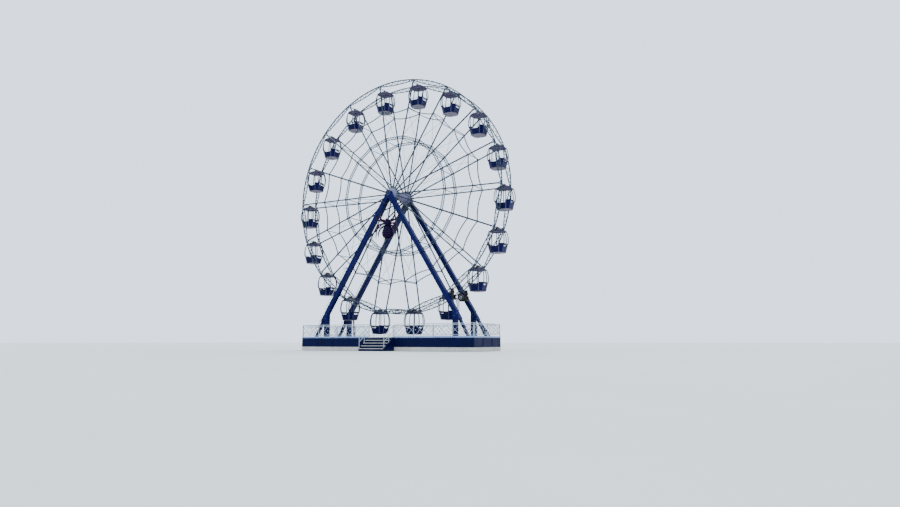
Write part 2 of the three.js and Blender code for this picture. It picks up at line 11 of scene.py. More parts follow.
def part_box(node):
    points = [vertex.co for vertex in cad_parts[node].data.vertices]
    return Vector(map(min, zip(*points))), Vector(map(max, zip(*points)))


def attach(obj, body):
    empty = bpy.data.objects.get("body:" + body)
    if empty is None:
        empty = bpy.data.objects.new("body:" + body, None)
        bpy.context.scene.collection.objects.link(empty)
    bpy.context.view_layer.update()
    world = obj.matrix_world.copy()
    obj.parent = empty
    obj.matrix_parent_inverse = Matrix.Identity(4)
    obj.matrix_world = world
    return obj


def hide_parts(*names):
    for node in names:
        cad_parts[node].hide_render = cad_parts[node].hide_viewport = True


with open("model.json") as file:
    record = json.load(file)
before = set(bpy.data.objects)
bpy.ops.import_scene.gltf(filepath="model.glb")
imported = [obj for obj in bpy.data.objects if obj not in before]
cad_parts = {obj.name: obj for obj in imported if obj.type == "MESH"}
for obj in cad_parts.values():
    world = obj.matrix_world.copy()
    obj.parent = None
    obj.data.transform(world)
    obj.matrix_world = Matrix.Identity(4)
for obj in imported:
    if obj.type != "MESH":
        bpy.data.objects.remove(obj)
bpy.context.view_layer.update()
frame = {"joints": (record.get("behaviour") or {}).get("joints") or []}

# Places taken from the frame's joints
JOINTS = {joint["name"]: Vector(joint["pos_m"]) for joint in frame["joints"]}
HUB = JOINTS["wheel_turn"]
BAYS = 18
BAY = 2 * pi / BAYS
CABINS = [f"gondola_{k + 1:02d}" for k in range(BAYS)]
PIVOTS = [JOINTS[f"{cabin}_swing"] for cabin in CABINS]
PIVOT_RADIUS = (PIVOTS[0] - HUB).length
FIRST_NODE = atan2(PIVOTS[0].z - HUB.z, PIVOTS[0].x - HUB.x)
NODE_ANGLES = [FIRST_NODE + bay * BAY for bay in range(BAYS)]

# Wheel
TRACK_RADIUS = 9.6
RIM_PLANE = 0.83
CHORD_RADIUS = 0.042
BOW_NODE_RADIUS = 9.54
BOW_DEPTH = 0.245
BOW_TUBE = 0.041
LACING_RADIUS = 0.025
LACING_BARS = 12
BLOCK_RADIUS = 9.46
HUB_PLANE = 1.1
HUB_FACE = 0.04
BARREL_RADIUS = 0.33
SHAFT_RADIUS = 0.11
SHAFT_END = 1.75
SPOKE_SECTION = 0.09
SPOKE_END = 9.343
OUTER_RING_RADIUS = 7.2
OUTER_RING_SAG = 0.27
INNER_RING_RADIUS = 4.78
INNER_RING_DEPTH = 0.19
SPACER_OFFSET = 0.07
RIM_LAMPS_PER_BAY = 8
RUNGS_PER_BAY = 16
WIRE_SPANS = ((0.62, 4.5), (4.98, 7.1))
WIRE_RADIUS = 0.013
BUCKLE_LENGTH = 0.22
LUG_LENGTH = 0.05

# Supports
LEG_PLANE = 1.5
LEG_WIDTH = 0.34
LEG_DEPTH = 0.38
KNEE = (6.03, 2.96)
COLUMN_X = 6.02
COLUMN_WIDTH = 0.34
COLUMN_TOP = 3.06
GUSSET_AT = (6.1, 2.9)
STRUT_TOP = (6.15, 2.85)
STRUT_FOOT_X = 7.196
STRUT_SECTION = (0.18, 0.26)
HEAD_RADIUS = 0.235
STAY_TOP = (5.63, 3.6)
STAY_FOOT_X = 6.9
PAD_HALF = 0.25
PAD_THICKNESS = 0.022
LADDER_START = 7
RUNG_REACH = 0.16
LEG_LAMPS = 24
LEG_LAMPS_FROM = 0.9
LEG_LAMPS_OVER = 9.9

# Base
CHASSIS_TOP = 0.9
DECK_TOP = 1.04
DECK_THICKNESS = 0.06
DECK_HALF_LENGTH = 7.9
DECK_HALF_WIDTH = 2.24
WELL_X = (5.8, 7.33)
WELL_Y = (1.26, 1.74)
SKIRT_TOP = 1.13
SILL_TOP = 0.3
RAIL_TOP = 2.04
ENTRANCE_HALF_WIDTH = 1.15
DECK_PANELS = 13
PANEL_GAP = 0.006
STAIR_STEPS = 5
SCALLOP_PITCH = 0.158
SKIRT_BAY = 1.6

SIDES = (("front", -1), ("rear", 1))
ENDS = (("left", -1), ("right", 1))
BOTH = (-1, 1)
X_AXIS = Vector((1, 0, 0))
Y_AXIS = Vector((0, 1, 0))
Z_AXIS = Vector((0, 0, 1))
UPRIGHT = Matrix.Rotation(pi / 2, 4, "X")
ON_AXIS = 1e-6
CREASE = radians(32)


# Mesh forms. Each is a list of points and a list of faces, and is closed.


class Shape:
    """The mesh of one piece, gathered from closed forms. A paint is the number of a form's material."""

    def __init__(self):
        self.points = []
        self.faces = []
        self.paints = []

    def add(self, form, place=None, paint=0):
        """Adds a form at a place, in one of the piece's materials."""
        points, faces = form
        start = len(self.points)
        if place is not None:
            points = [place @ Vector(p) for p in points]
        self.points.extend(tuple(p) for p in points)
        self.faces.extend(tuple(start + i for i in face) for face in faces)
        self.paints.extend([paint] * len(faces))


def solid_mesh(name, points, faces):
    """Mesh whose faces all look outwards."""
    mesh = bpy.data.meshes.new(name)
    mesh.from_pydata(points, [], faces)
    work = bmesh.new()
    work.from_mesh(mesh)
    bmesh.ops.recalc_face_normals(work, faces=work.faces)
    work.to_mesh(mesh)
    work.free()
    return mesh


def added(name, data):
    """New object in the scene."""
    item = bpy.data.objects.new(name, data)
    bpy.context.scene.collection.objects.link(item)
    return item


def make(shape, name, materials, places):
    """Turns a shape into one piece for each place: a name's ending, a position, a body, replaced nodes."""
    mesh = solid_mesh(name, shape.points, shape.faces)
    for material in materials:
        mesh.materials.append(material)
    mesh.polygons.foreach_set("material_index", shape.paints)
    mesh.shade_smooth()
    mesh.set_sharp_from_angle(angle=CREASE)
    made = []
    for ending, position, body, nodes in places:
        piece = added(name + ending, mesh)
        piece.location = position
        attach(piece, body)
        if nodes:
            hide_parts(*nodes)
        made.append(piece)
    return made


def on_frame(shape, name, slot, materials, *nodes):
    """One piece that stands still."""
    make(shape, name, materials, [("", Vector(), "frame", nodes)])


def on_wheel(shape, name, materials, *nodes):
    """One piece that turns with the wheel."""
    make(shape, name, materials, [("", Vector(), "wheel", nodes)])


def in_cabins(shape, name, materials, replacing=False):
    """One piece in every cabin, drawn round the cabin's pivot."""
    places = []
    for cabin, pivot in zip(CABINS, PIVOTS):
        places.append((cabin[-3:], pivot, cabin, [cabin] if replacing else ()))
    return make(shape, name, materials, places)


def polar(radius, angle, height=0.0):
    """Point round local Z."""
    return Vector((radius * cos(angle), radius * sin(angle), height))


def full_turn(steps):
    """Angles of equal steps round a circle."""
    return [2 * pi * i / steps for i in range(steps)]


def basis(x, y, z):
    """Rotation that lays local X, Y and Z along three directions."""
    return Matrix((x, y, z)).transposed().to_4x4()


def spot(position, direction=Z_AXIS, guide=Y_AXIS):
    """Place whose local Z lies along a direction, and its local Y as close to the guide as it can."""
    z = Vector(direction).normalized()
    if abs(z.dot(guide)) > 0.95:
        guide = X_AXIS
    x = guide.cross(z).normalized()
    return Matrix.Translation(position) @ basis(x, z.cross(x), z)


def block(width, depth, height, bevel):
    """Box round the origin with its edges taken off."""
    half = (width / 2, depth / 2, height / 2)
    points = []
    for corner, full in product(range(8), range(3)):
        inset = [half[a] - (0 if a == full else bevel) for a in range(3)]
        points.append([inset[a] if corner >> a & 1 else -inset[a] for a in range(3)])
    faces = [(3 * c, 3 * c + 1, 3 * c + 2) for c in range(8)]
    for axis in range(3):
        u, v = [a for a in range(3) if a != axis]
        for side in (0, 1):
            corners = ((0, 0), (1, 0), (1, 1), (0, 1))
            faces.append([3 * (side << axis | i << u | j << v) + axis for i, j in corners])
        for i, j in product((0, 1), repeat=2):
            low = i << u | j << v
            high = low | 1 << axis
            faces.append((3 * low + u, 3 * low + v, 3 * high + v, 3 * high + u))
    return points, faces


def girder(shape, a, b, width, depth, bevel=0.006, paint=0, guide=Y_AXIS):
    """Rectangular bar between two points, its depth along the guide."""
    a = Vector(a)
    b = Vector(b)
    shape.add(block(width, depth, (b - a).length, bevel), spot((a + b) / 2, b - a, guide), paint)


def slab(shape, low, high, bevel=0.004, paint=0):
    """Box between two corners, its edges taken off."""
    low = Vector(low)
    high = Vector(high)
    shape.add(block(*(high - low), bevel), Matrix.Translation((low + high) / 2), paint)


def upright_box(shape, centre, half_x, half_y, low, high, bevel=0.004):
    """Upright box round a centre line."""
    reach = Vector((half_x, half_y, 0))
    base = Vector((centre[0], centre[1], 0))
    slab(shape, base - reach + Z_AXIS * low, base + reach + Z_AXIS * high, bevel)


def loft(loops, closed=False):
    """Skin over loops of points of equal count, closed on itself or with flat ends."""
    count = len(loops[0])
    points = [p for loop in loops for p in loop]
    faces = []
    for level in range(len(loops) if closed else len(loops) - 1):
        a = level * count
        b = (level + 1) % len(loops) * count
        for i in range(count):
            j = (i + 1) % count
            faces.append((a + i, a + j, b + j, b + i))
    if not closed:
        faces += [range(count), range(len(points) - count, len(points))]
    return points, faces


def turned(profile, steps):
    """Solid of revolution about local Z from (radius, height) points that start and end on the axis."""
    points = []
    rings = []
    for radius, height in profile:
        count = steps if radius > ON_AXIS else 1
        rings.append([len(points) + i % count for i in range(steps)])
        points += [polar(radius, angle, height) for angle in full_turn(count)]
    faces = []
    for low, high in zip(rings, rings[1:]):
        for i in range(steps):
            j = (i + 1) % steps
            faces.append(tuple(dict.fromkeys((low[i], low[j], high[j], high[i]))))
    return points, faces


def washer(profile, steps):
    """Ring of revolution about local Z from a closed loop of (radius, height) points."""
    return loft([[polar(r, angle, h) for r, h in profile] for angle in full_turn(steps)], True)


def rod(shape, a, b, radius, steps=8, bevel=0.001, paint=0):
    """Round bar between two points."""
    a = Vector(a)
    b = Vector(b)
    end = (b - a).length
    face = radius - bevel
    profile = [(0, 0), (face, 0), (radius, bevel), (radius, end - bevel), (face, end), (0, end)]
    shape.add(turned(profile, steps), spot(a, b - a), paint)


def tube(path, radii, steps, closed=False):
    """Round bar along a smooth path, with one radius or a radius for each point."""
    path = [Vector(p) for p in path]
    count = len(path)
    if not isinstance(radii, list):
        radii = [radii] * count
    loops = []
    side = (path[1] - path[-1 if closed else 0]).normalized().orthogonal().normalized()
    for i, (point, radius) in enumerate(zip(path, radii)):
        before = path[i - 1] if closed or i > 0 else point
        after = path[(i + 1) % count] if closed or i < count - 1 else point
        forward = (after - before).normalized()
        side = (side - forward * side.dot(forward)).normalized()
        other = forward.cross(side)
        loops.append([point + (side * cos(a) + other * sin(a)) * radius for a in full_turn(steps)])
    return loft(loops, closed)


def plate(outline, thickness, bevel=0.002):
    """Flat plate in local XY, its outline given as points, with its rims taken off."""
    middle = sum((Vector(p) for p in outline), Vector((0, 0))) / len(outline)
    half = thickness / 2
    loops = []
    for height, shrink in ((-half, bevel), (bevel - half, 0), (half - bevel, 0), (half, bevel)):
        loop = []
        for point in outline:
            out = Vector(point) - middle
            loop.append((*(middle + out * (1 - shrink / out.length)), height))
        loops.append(loop)
    return loft(loops)


def ball(radius, steps, rings):
    """Ball round the origin."""
    angles = [pi * i / rings for i in range(rings + 1)]
    return turned([(radius * sin(a), -radius * cos(a)) for a in angles], steps)


HEX_HEAD = ((0, 0), (1.25, 0), (1.25, 0.25), (1, 0.25), (1, 0.9), (0.85, 1.05), (0, 1.05))
SCREW_HEAD = ((0, 0), (1, 0), (0.8, 0.6), (0, 0.85))


def bolt(shape, size, position, direction=Z_AXIS, paint=1, outline=HEX_HEAD):
    """Head of a fastener, standing on a surface. Its outline is given in units of its size."""
    shape.add(turned([(size * r, size * h) for r, h in outline], 6), spot(position, direction), paint)


def bolt_circle(shape, size, centre, axis, radius, count, first=0.0, paint=1):
    """Bolts in a circle that lies parallel to the wheel."""
    for angle in full_turn(count):
        bolt(shape, size, centre + radial(first + angle) * radius, axis, paint)


def bolt_corners(shape, size, centre, half_x, half_y):
    """Bolts at the four corners of a level plate."""
    for u, v in product((-half_x, half_x), (-half_y, half_y)):
        bolt(shape, size, Vector(centre) + Vector((u, v, 0)))


def lamp(shape, position, direction, size):
    """Cap lamp: a dark socket with a clear dome."""
    place = spot(position, direction)
    socket = [(0, -0.004), (size * 0.8, -0.004), (size * 0.8, size * 0.35), (0, size * 0.35)]
    shape.add(turned(socket, 7), place)
    angles = [pi / 6 * i for i in range(3)]
    dome = [(size * 0.9 * cos(a), size * (0.36 + 0.8 * sin(a))) for a in angles]
    shape.add(turned([(0, size * 0.3), *dome, (0, size * 1.16)], 7), place, 1)


def round_section(radius, count):
    """Outline of a round bar's section."""
    return [polar(radius, angle)[:2] for angle in full_turn(count)]


def flat_section(width, depth, bevel):
    """Outline of a flat bar's section, its corners taken off."""
    x = width / 2
    y = depth / 2
    half = [(-x, bevel - y), (bevel - x, -y), (x - bevel, -y), (x, bevel - y)]
    return half + [(-u, -v) for u, v in half]


def radial(angle):
    """Direction away from the hub in the wheel's plane."""
    return Vector((cos(angle), 0, sin(angle)))


def in_wheel(radius, angle, y):
    """Point of the wheel by its distance from the shaft, its angle and its distance along the shaft."""
    return Vector((radius * cos(angle), y, HUB.z + radius * sin(angle)))


def ring(radius_at, y, outline, parts):
    """Ring round the hub with equal parts in each bay. Its section is given as (radial, axial) points."""
    loops = []
    for angle, i in product(NODE_ANGLES, range(parts)):
        radius = radius_at(i / parts)
        loops.append([in_wheel(radius + u, angle + i / parts * BAY, y + v) for u, v in outline])
    return loft(loops, True)


# Materials

MIX_FACTOR = 0
MIX_FIRST = 6
MIX_SECOND = 7
MIX_COLOUR = 2


class Finish:
    """A material in the making. Its nodes read the object's own coordinates."""

    def __init__(self, name):
        self.material = bpy.data.materials.new(name)
        self.material.use_nodes = True
        self.nodes = self.material.node_tree.nodes
        self.shader = self.nodes["Principled BSDF"]
        self.coords = self.node("TexCoord", {}).outputs["Object"]

    def feed(self, node, inputs):
        """Links each input to an output or sets it to a value, a colour without its alpha."""
        for name, value in inputs.items():
            socket = node.inputs[name]
            if isinstance(value, bpy.types.NodeSocket):
                self.material.node_tree.links.new(value, socket)
            else:
                socket.default_value = (*value, 1) if socket.type == "RGBA" else value

    def node(self, kind, inputs, **settings):
        """New node with its settings and inputs."""
        node = self.nodes.new("ShaderNode" + kind)
        for name, value in settings.items():
            setattr(node, name, value)
        self.feed(node, inputs)
        return node

    def mapped(self, **inputs):
        """The object's coordinates, scaled or turned."""
        return self.node("Mapping", {"Vector": self.coords, **inputs}).outputs["Vector"]

    def noise(self, scale, detail, stretch=(1, 1, 1)):
        """Cloudy value over the surface."""
        inputs = {"Vector": self.mapped(Scale=stretch), "Scale": scale, "Detail": detail, "Roughness": 0.6}
        return self.node("TexNoise", inputs).outputs["Fac"]

    def cells(self, scale, vector, **inputs):
        """Value that grows from the middle of each cell of a pattern."""
        return self.node("TexVoronoi", {"Vector": vector, "Scale": scale, **inputs}).outputs["Distance"]

    def ramp(self, value, low=0, high=1, to=(0, 1)):
        """Spreads a value between low and high over another range."""
        inputs = {"Value": value, "From Min": low, "From Max": high, "To Min": to[0], "To Max": to[1]}
        return self.node("MapRange", inputs).outputs["Result"]

    def mixed(self, factor, a, b):
        """Mix of two colours, each a tuple or a node's output."""
        inputs = {MIX_FACTOR: factor, MIX_FIRST: a, MIX_SECOND: b}
        return self.node("Mix", inputs, data_type="RGBA").outputs[MIX_COLOUR]

    def maths(self, operation, a, b):
        """Result of one operation on two values."""
        return self.node("Math", {0: a, 1: b}, operation=operation).outputs[0]

    def soiled(self, base, value, low, high, amount, dirt):
        """Dirt over a colour where a value is high."""
        return self.mixed(self.maths("MULTIPLY", self.ramp(value, low, high), amount), base, dirt)

    def done(self, base, rough, height, strength, distance, **others):
        """The material with its colour, roughness, bump and other shader values, blanks written as _."""
        bump = self.node("Bump", {"Height": height, "Strength": strength, "Distance": distance})
        look = {"Base Color": base, "Roughness": rough, "Normal": bump.outputs["Normal"]}
        others = {name.replace("_", " "): value for name, value in others.items()}
        self.feed(self.shader, {**look, **others})
        return self.material


def coat_paint(name, colour, shade, grime, rough=(0.32, 0.55), coat=0.0, streaks=0.5, sheen=0.13):
    """Paint or moulded finish with slow colour drift, rain streaks, small chips and orange peel."""
    look = Finish(name)
    drift = look.noise(1.3, 5)
    streak = look.noise(5, 6, (1.6, 1.6, 0.16))
    speck = look.noise(60, 3)
    base = look.mixed(look.ramp(drift, 0.35, 0.68), colour, shade)
    base = look.soiled(base, streak, 0.54, 0.78, streaks, grime)
    base = look.soiled(base, speck, 0.71, 0.74, 0.6, grime)
    dull = look.ramp(streak, 0.35, 0.7, rough)
    return look.done(
        base, dull, speck, 0.18, 0.002, Specular_IOR_Level=sheen, Coat_Weight=coat, Coat_Roughness=0.2
    )


def rubber(name):
    """Black tyre rubber, dusty in patches."""
    look = Finish(name)
    dust = look.noise(9, 5)
    grain = look.noise(240, 2)
    base = look.mixed(look.ramp(dust, 0.45, 0.75), (0.012, 0.012, 0.013), (0.055, 0.052, 0.047))
    return look.done(base, 0.78, grain, 0.35, 0.001)


def bare_steel(name, colour, shade, rough=(0.25, 0.5)):
    """Machined or galvanised steel with spangle and dull patches."""
    look = Finish(name)
    spangle = look.cells(38, look.coords)
    patch = look.noise(6, 5)
    base = look.soiled(look.mixed(spangle, colour, shade), patch, 0.5, 0.75, 0.5, (0.12, 0.10, 0.085))
    dull = look.ramp(patch, to=rough)
    return look.done(base, dull, spangle, 0.08, 0.002, Metallic=0.85)


def tread_metal(name):
    """Deck plate with a raised bar pattern, worn bright on the bars."""
    look = Finish(name)
    bars = []
    for turn in (45, -45):
        grid = look.mapped(Rotation=(0, 0, radians(turn)), Scale=(26, 9, 1))
        bars.append(look.ramp(look.cells(1, grid, Randomness=0), 0.38, 0.24))
    top = look.maths("MAXIMUM", *bars)
    dirt = look.noise(2.2, 6)
    base = look.mixed(top, (0.24, 0.25, 0.26), (0.5, 0.51, 0.53))
    base = look.soiled(base, dirt, 0.45, 0.7, 0.6, (0.16, 0.145, 0.125))
    return look.done(base, 0.46, top, 0.5, 0.004, Metallic=0.7)


def lamp_glass(name):
    """Smoked lamp dome with a faint swirl."""
    look = Finish(name)
    swirl = look.noise(30, 3)
    base = look.mixed(swirl, (0.11, 0.12, 0.13), (0.07, 0.085, 0.11))
    return look.done(base, 0.22, swirl, 0.05, 0.001, Coat_Weight=0.3, Subsurface_Weight=0.15)


def vinyl(name, colour, shade):
    """Padded seat vinyl with a leather grain and scuffs."""
    look = Finish(name)
    grain = look.cells(160, look.coords)
    scuff = look.noise(7, 5)
    return look.done(look.mixed(look.ramp(scuff, 0.4, 0.75), colour, shade), 0.5, grain, 0.25, 0.001)


def floor_finish():
    """Matte pale ground with slow drift."""
    look = Finish("pale_floor")
    look.feed(look.shader, {
        "Base Color": look.mixed(look.noise(0.3, 5), (0.6, 0.6, 0.58), (0.66, 0.66, 0.64)),
        "Roughness": 0.85,
    })
    return look.material


# Each paint has its colour, its shaded drift and its grime
# The wheel's steel is painted white. This dark slate grey is painted shade, standing in for the shade on the
# faces turned away from a light behind the wheel.
STEEL = coat_paint("steel_paint_darkened_as_painted_shade", (0.034, 0.05, 0.074), (0.024, 0.036, 0.056),
    (0.03, 0.027, 0.027), coat=0.05, streaks=0.4, sheen=0.1)
HUB_PAINT = coat_paint("mauve_grey_hub_paint", (0.2, 0.195, 0.3), (0.145, 0.14, 0.225),
    (0.08, 0.075, 0.08), coat=0.1)
RAIL_PAINT = coat_paint("pale_railing_paint", (0.4, 0.45, 0.5), (0.31, 0.36, 0.41),
    (0.13, 0.12, 0.11), coat=0.1)
# The legs are royal blue. This colour is darkened to near navy as painted shade, standing in for the shade
# on their front faces under a light from behind.
BLUE = coat_paint("royal_blue_paint_darkened_as_painted_shade", (0.001, 0.003, 0.062), (0.0008, 0.002, 0.04),
    (0.003, 0.004, 0.02), coat=0.02, sheen=0.06)
NAVY = coat_paint("navy_paint", (0.001, 0.0025, 0.035), (0.0008, 0.0018, 0.022),
    (0.006, 0.006, 0.016), coat=0.02, sheen=0.05)
TUB = coat_paint("navy_gloss_shell", (0.0008, 0.0014, 0.042), (0.0006, 0.001, 0.028),
    (0.002, 0.002, 0.018), (0.25, 0.45), coat=0.04, sheen=0.06)
SEAM = coat_paint("lilac_seam_trim", (0.06, 0.055, 0.16), (0.045, 0.04, 0.12), (0.03, 0.028, 0.05))
PLUM = coat_paint("plum_shell", (0.004, 0.003, 0.022), (0.003, 0.002, 0.015),
    (0.012, 0.011, 0.022), (0.5, 0.75), sheen=0.06)
LILAC = coat_paint("lilac_ceiling", (0.1, 0.075, 0.16), (0.075, 0.055, 0.125),
    (0.05, 0.042, 0.06), (0.5, 0.7), streaks=0.3)
# The cabins' underside is beige. The lilac-grey cast of this colour is painted shade, standing in for blue
# skylight in the shade below the cabins.
BEIGE = coat_paint("beige_underside_with_painted_shade", (0.21, 0.185, 0.23), (0.16, 0.14, 0.185),
    (0.08, 0.065, 0.07), (0.5, 0.7), streaks=0.7)
GREY = coat_paint("slate_post_paint", (0.014, 0.024, 0.038), (0.01, 0.017, 0.028),
    (0.025, 0.022, 0.022), coat=0.05)
PALE = coat_paint("pale_sill_paint", (0.5, 0.48, 0.43), (0.4, 0.385, 0.35),
    (0.17, 0.14, 0.11), (0.45, 0.7), streaks=0.8)
FRINGE = coat_paint("pale_blue_trim", (0.26, 0.36, 0.6), (0.19, 0.28, 0.5),
    (0.12, 0.12, 0.15), coat=0.2, streaks=0.4)
BLACK = coat_paint("black_machine_paint", (0.018, 0.018, 0.02), (0.03, 0.03, 0.032),
    (0.1, 0.085, 0.07), (0.35, 0.62))
FIGURE = coat_paint("figure_dark_gloss", (0.0012, 0.0008, 0.016), (0.004, 0.001, 0.016),
    (0.003, 0.0015, 0.01), (0.25, 0.5), coat=0.03, streaks=0.3, sheen=0.03)
FIGURE_LEG = coat_paint("figure_leg_gloss", (0.014, 0.003, 0.018), (0.028, 0.004, 0.022),
    (0.008, 0.004, 0.012), (0.25, 0.5), coat=0.03, streaks=0.4, sheen=0.06)
GALVANISED = bare_steel("galvanised_steel", (0.46, 0.48, 0.5), (0.33, 0.35, 0.37))
SHAFT_STEEL = bare_steel("shaft_steel", (0.6, 0.6, 0.6), (0.45, 0.45, 0.46), (0.18, 0.34))
TYRE = rubber("tyre_rubber")
TREAD = tread_metal("deck_tread_plate")
GLASS = lamp_glass("smoked_lamp_dome")
SEAT = vinyl("seat_vinyl", (0.09, 0.012, 0.02), (0.16, 0.05, 0.05))
BACK = vinyl("back_vinyl", (0.008, 0.01, 0.035), (0.02, 0.022, 0.05))


# Wheel


def node_angle(bay):
    """Angle of a rim node, or of a place between two nodes."""
    return FIRST_NODE + bay * BAY


def spoke_plane(radius):
    """Distance of a spoke from the wheel's middle plane, as the spokes lean in towards the rims."""
    return HUB_PLANE - (HUB_PLANE - RIM_PLANE) * radius / PIVOT_RADIUS


def bowed(radius, depth=0.0):
    """Radius of a chord at a share of a bay, drawn in towards the hub between two nodes."""
    return lambda t: radius - depth * 4 * t * (1 - t)


def straight(radius):
    """Radius of a chord that runs straight from node to node."""
    return lambda t: radius * cos(BAY / 2) / cos((t - 0.5) * BAY)


def lace(shape, outer, inner, y, steps, angle, radius):
    """Zigzag rods of one bay between two chords."""
    corners = []
    for step in steps:
        t = step / LACING_BARS
        corners.append(in_wheel((outer if step % 2 else inner)(t), angle + t * BAY, y))
    for a, b in zip(corners, corners[1:]):
        rod(shape, a, b, radius, 6)


def lamp_row(name, lamps, chord, y, shares, size, side):
    """Cap lamps along a ring, at the same shares of each bay."""
    for angle, t in product(NODE_ANGLES, shares):
        lamp(lamps, in_wheel(chord(t), angle + t * BAY, y), side * Y_AXIS, size)
    on_wheel(lamps, name, [GREY, GLASS])


def build_rim(side_name, side):
    """Laced rim of a round outer chord and a bowed inner one, with its node blocks and lamps."""
    y = side * RIM_PLANE
    track = bowed(TRACK_RADIUS)
    bow = bowed(BOW_NODE_RADIUS, BOW_DEPTH)
    shape = Shape()
    shape.add(ring(track, y, round_section(CHORD_RADIUS, 12), 10))
    shape.add(ring(bow, y, round_section(BOW_TUBE, 8), 10))
    for angle in NODE_ANGLES:
        lace(shape, track, bow, y, range(1, LACING_BARS), angle, LACING_RADIUS)
        build_node_block(shape, angle, side)
    on_wheel(shape, f"{side_name}_rim_girder", [STEEL, GALVANISED], f"{side_name}_rim")

    lamps = Shape()
    channel = [(u, v / 2 + side * (CHORD_RADIUS + 0.006)) for u, v in flat_section(0.052, 0.05, 0.004)]
    lamps.add(ring(track, y, channel, 10))
    shares = [(i + 0.5) / RIM_LAMPS_PER_BAY for i in range(RIM_LAMPS_PER_BAY)]
    lamp_y = y + side * (CHORD_RADIUS + 0.018)
    lamp_row(f"{side_name}_rim_lamps", lamps, track, lamp_y, shares, 0.024, side)


def build_node_block(shape, angle, side):
    """Block at one rim node that holds a cabin's axle, with its cheek plates, cap and bolts."""
    out = radial(angle)
    tangent = radial(angle - pi / 2)
    centre = in_wheel(BLOCK_RADIUS, angle, side * RIM_PLANE)
    shape.add(block(0.13, 0.07, 0.23, 0.006), spot(centre, out))
    cheek = [(-0.062, -0.118), (0.062, -0.118), (0.085, -0.04), (0.2, 0.115), (0.2, 0.17)]
    cheek += [(-0.2, 0.17), (-0.2, 0.115), (-0.085, -0.04)]
    turn = basis(tangent, out, tangent.cross(out))
    for face in BOTH:
        shape.add(plate(cheek, 0.012), Matrix.Translation(centre + face * Y_AXIS * 0.037) @ turn)
        for u, v in ((-0.15, 0.142), (0.15, 0.142), (-0.04, -0.095), (0.04, -0.095)):
            bolt(shape, 0.011, centre + face * Y_AXIS * 0.043 + tangent * u + out * v, face * Y_AXIS)
    cap = [(0, 0), (0.062, 0), (0.062, 0.018), (0.05, 0.03), (0.02, 0.032), (0, 0.032)]
    axle_end = in_wheel(PIVOT_RADIUS, angle, side * (RIM_PLANE + 0.043))
    shape.add(turned(cap, 16), spot(axle_end, side * Y_AXIS), 1)


def build_axles():
    """Axles that the cabins hang on, each with two collars."""
    shape = Shape()
    collar = [(0.041, -0.02), (0.058, -0.02), (0.058, 0.02), (0.041, 0.02)]
    for pivot in PIVOTS:
        ends = (pivot - Y_AXIS * (RIM_PLANE - 0.046), pivot + Y_AXIS * (RIM_PLANE - 0.03))
        rod(shape, *ends, 0.0395, 20, 0.002)
        for side in BOTH:
            shape.add(washer(collar, 20), spot(pivot + side * Y_AXIS * 0.26, Y_AXIS))
    on_wheel(shape, "cabin_axles", [SHAFT_STEEL])


def build_spoke_lamps(shape, along_spoke, side):
    """Lamp channel on the outer face of a spoke, between the ring clamps, with its cap lamps."""
    lift = side * Y_AXIS * (SPOKE_SECTION / 2 + 0.008)
    spans = (
        (0.72, INNER_RING_RADIUS - 0.16, 13),
        (INNER_RING_RADIUS + 0.16, OUTER_RING_RADIUS - 0.06, 7),
        (OUTER_RING_RADIUS + 0.06, SPOKE_END - 0.05, 7),
    )
    for low, high, count in spans:
        girder(shape, along_spoke(low) + lift, along_spoke(high) + lift, 0.05, 0.02, 0.004)
        for i in range(count):
            radius = low + (high - low) * (i + 0.5) / count
            lamp(shape, along_spoke(radius) + lift * 1.18, side * Y_AXIS, 0.019)


def build_spokes(side_name, side):
    """Square spokes with sockets at the hub plate, clamps at the rings and lamps."""
    shape = Shape()
    lamps = Shape()
    # Start, end, width, depth and bevel of a spoke's bar, socket, flange, end plate and ring clamps
    parts = [
        (0.42, SPOKE_END, SPOKE_SECTION, SPOKE_SECTION, 0.01),
        (0.44, 0.66, 0.118, 0.108, 0.008),
        (0.66, 0.675, 0.16, 0.14, 0.003),
        (SPOKE_END - 0.014, SPOKE_END, 0.125, 0.1, 0.003),
    ]
    for radius in (INNER_RING_RADIUS - 0.095, INNER_RING_RADIUS + 0.095, OUTER_RING_RADIUS):
        parts.append((radius - 0.035, radius + 0.035, 0.104, 0.096, 0.004))
    for angle in NODE_ANGLES:

        def along_spoke(radius):
            return in_wheel(radius, angle, side * spoke_plane(radius))

        for low, high, *section in parts:
            girder(shape, along_spoke(low), along_spoke(high), *section)
        build_spoke_lamps(lamps, along_spoke, side)
        for radius in (0.5, 0.6):
            bolt(shape, 0.014, along_spoke(radius) + side * Y_AXIS * 0.054, side * Y_AXIS)
        for u in BOTH:
            bolt(shape, 0.009, along_spoke(0.675) + u * radial(angle - pi / 2) * 0.066, radial(angle))
    on_wheel(shape, f"{side_name}_spoke_bars", [STEEL, GALVANISED], f"{side_name}_spokes")
    on_wheel(lamps, f"{side_name}_spoke_lamps", [GREY, GLASS])


def build_hub_plate(side_name, side):
    """Round plate that the spokes' sockets are bolted to."""
    out = side * Y_AXIS
    shape = Shape()
    profile = [(0, -0.04), (0.485, -0.04), (0.5, -0.026), (0.5, 0.026), (0.485, 0.04), (0.4, 0.04)]
    profile += [(0.385, 0.052), (0.33, 0.052), (0.318, 0.04), (0.25, 0.04), (0.235, 0.062)]
    profile += [(0.185, 0.066), (0.17, 0.148), (0.13, 0.148), (0, 0.148)]
    shape.add(turned(profile, 72), spot(HUB + out * HUB_PLANE, out))
    rim_centre = HUB + out * (HUB_PLANE + HUB_FACE)
    bolt_circle(shape, 0.015, rim_centre, out, 0.445, 2 * BAYS, node_angle(0.25))
    bolt_circle(shape, 0.014, HUB + out * (HUB_PLANE + 0.063), out, 0.21, 12, FIRST_NODE)
    on_wheel(shape, f"{side_name}_hub_plate", [HUB_PAINT, GALVANISED])


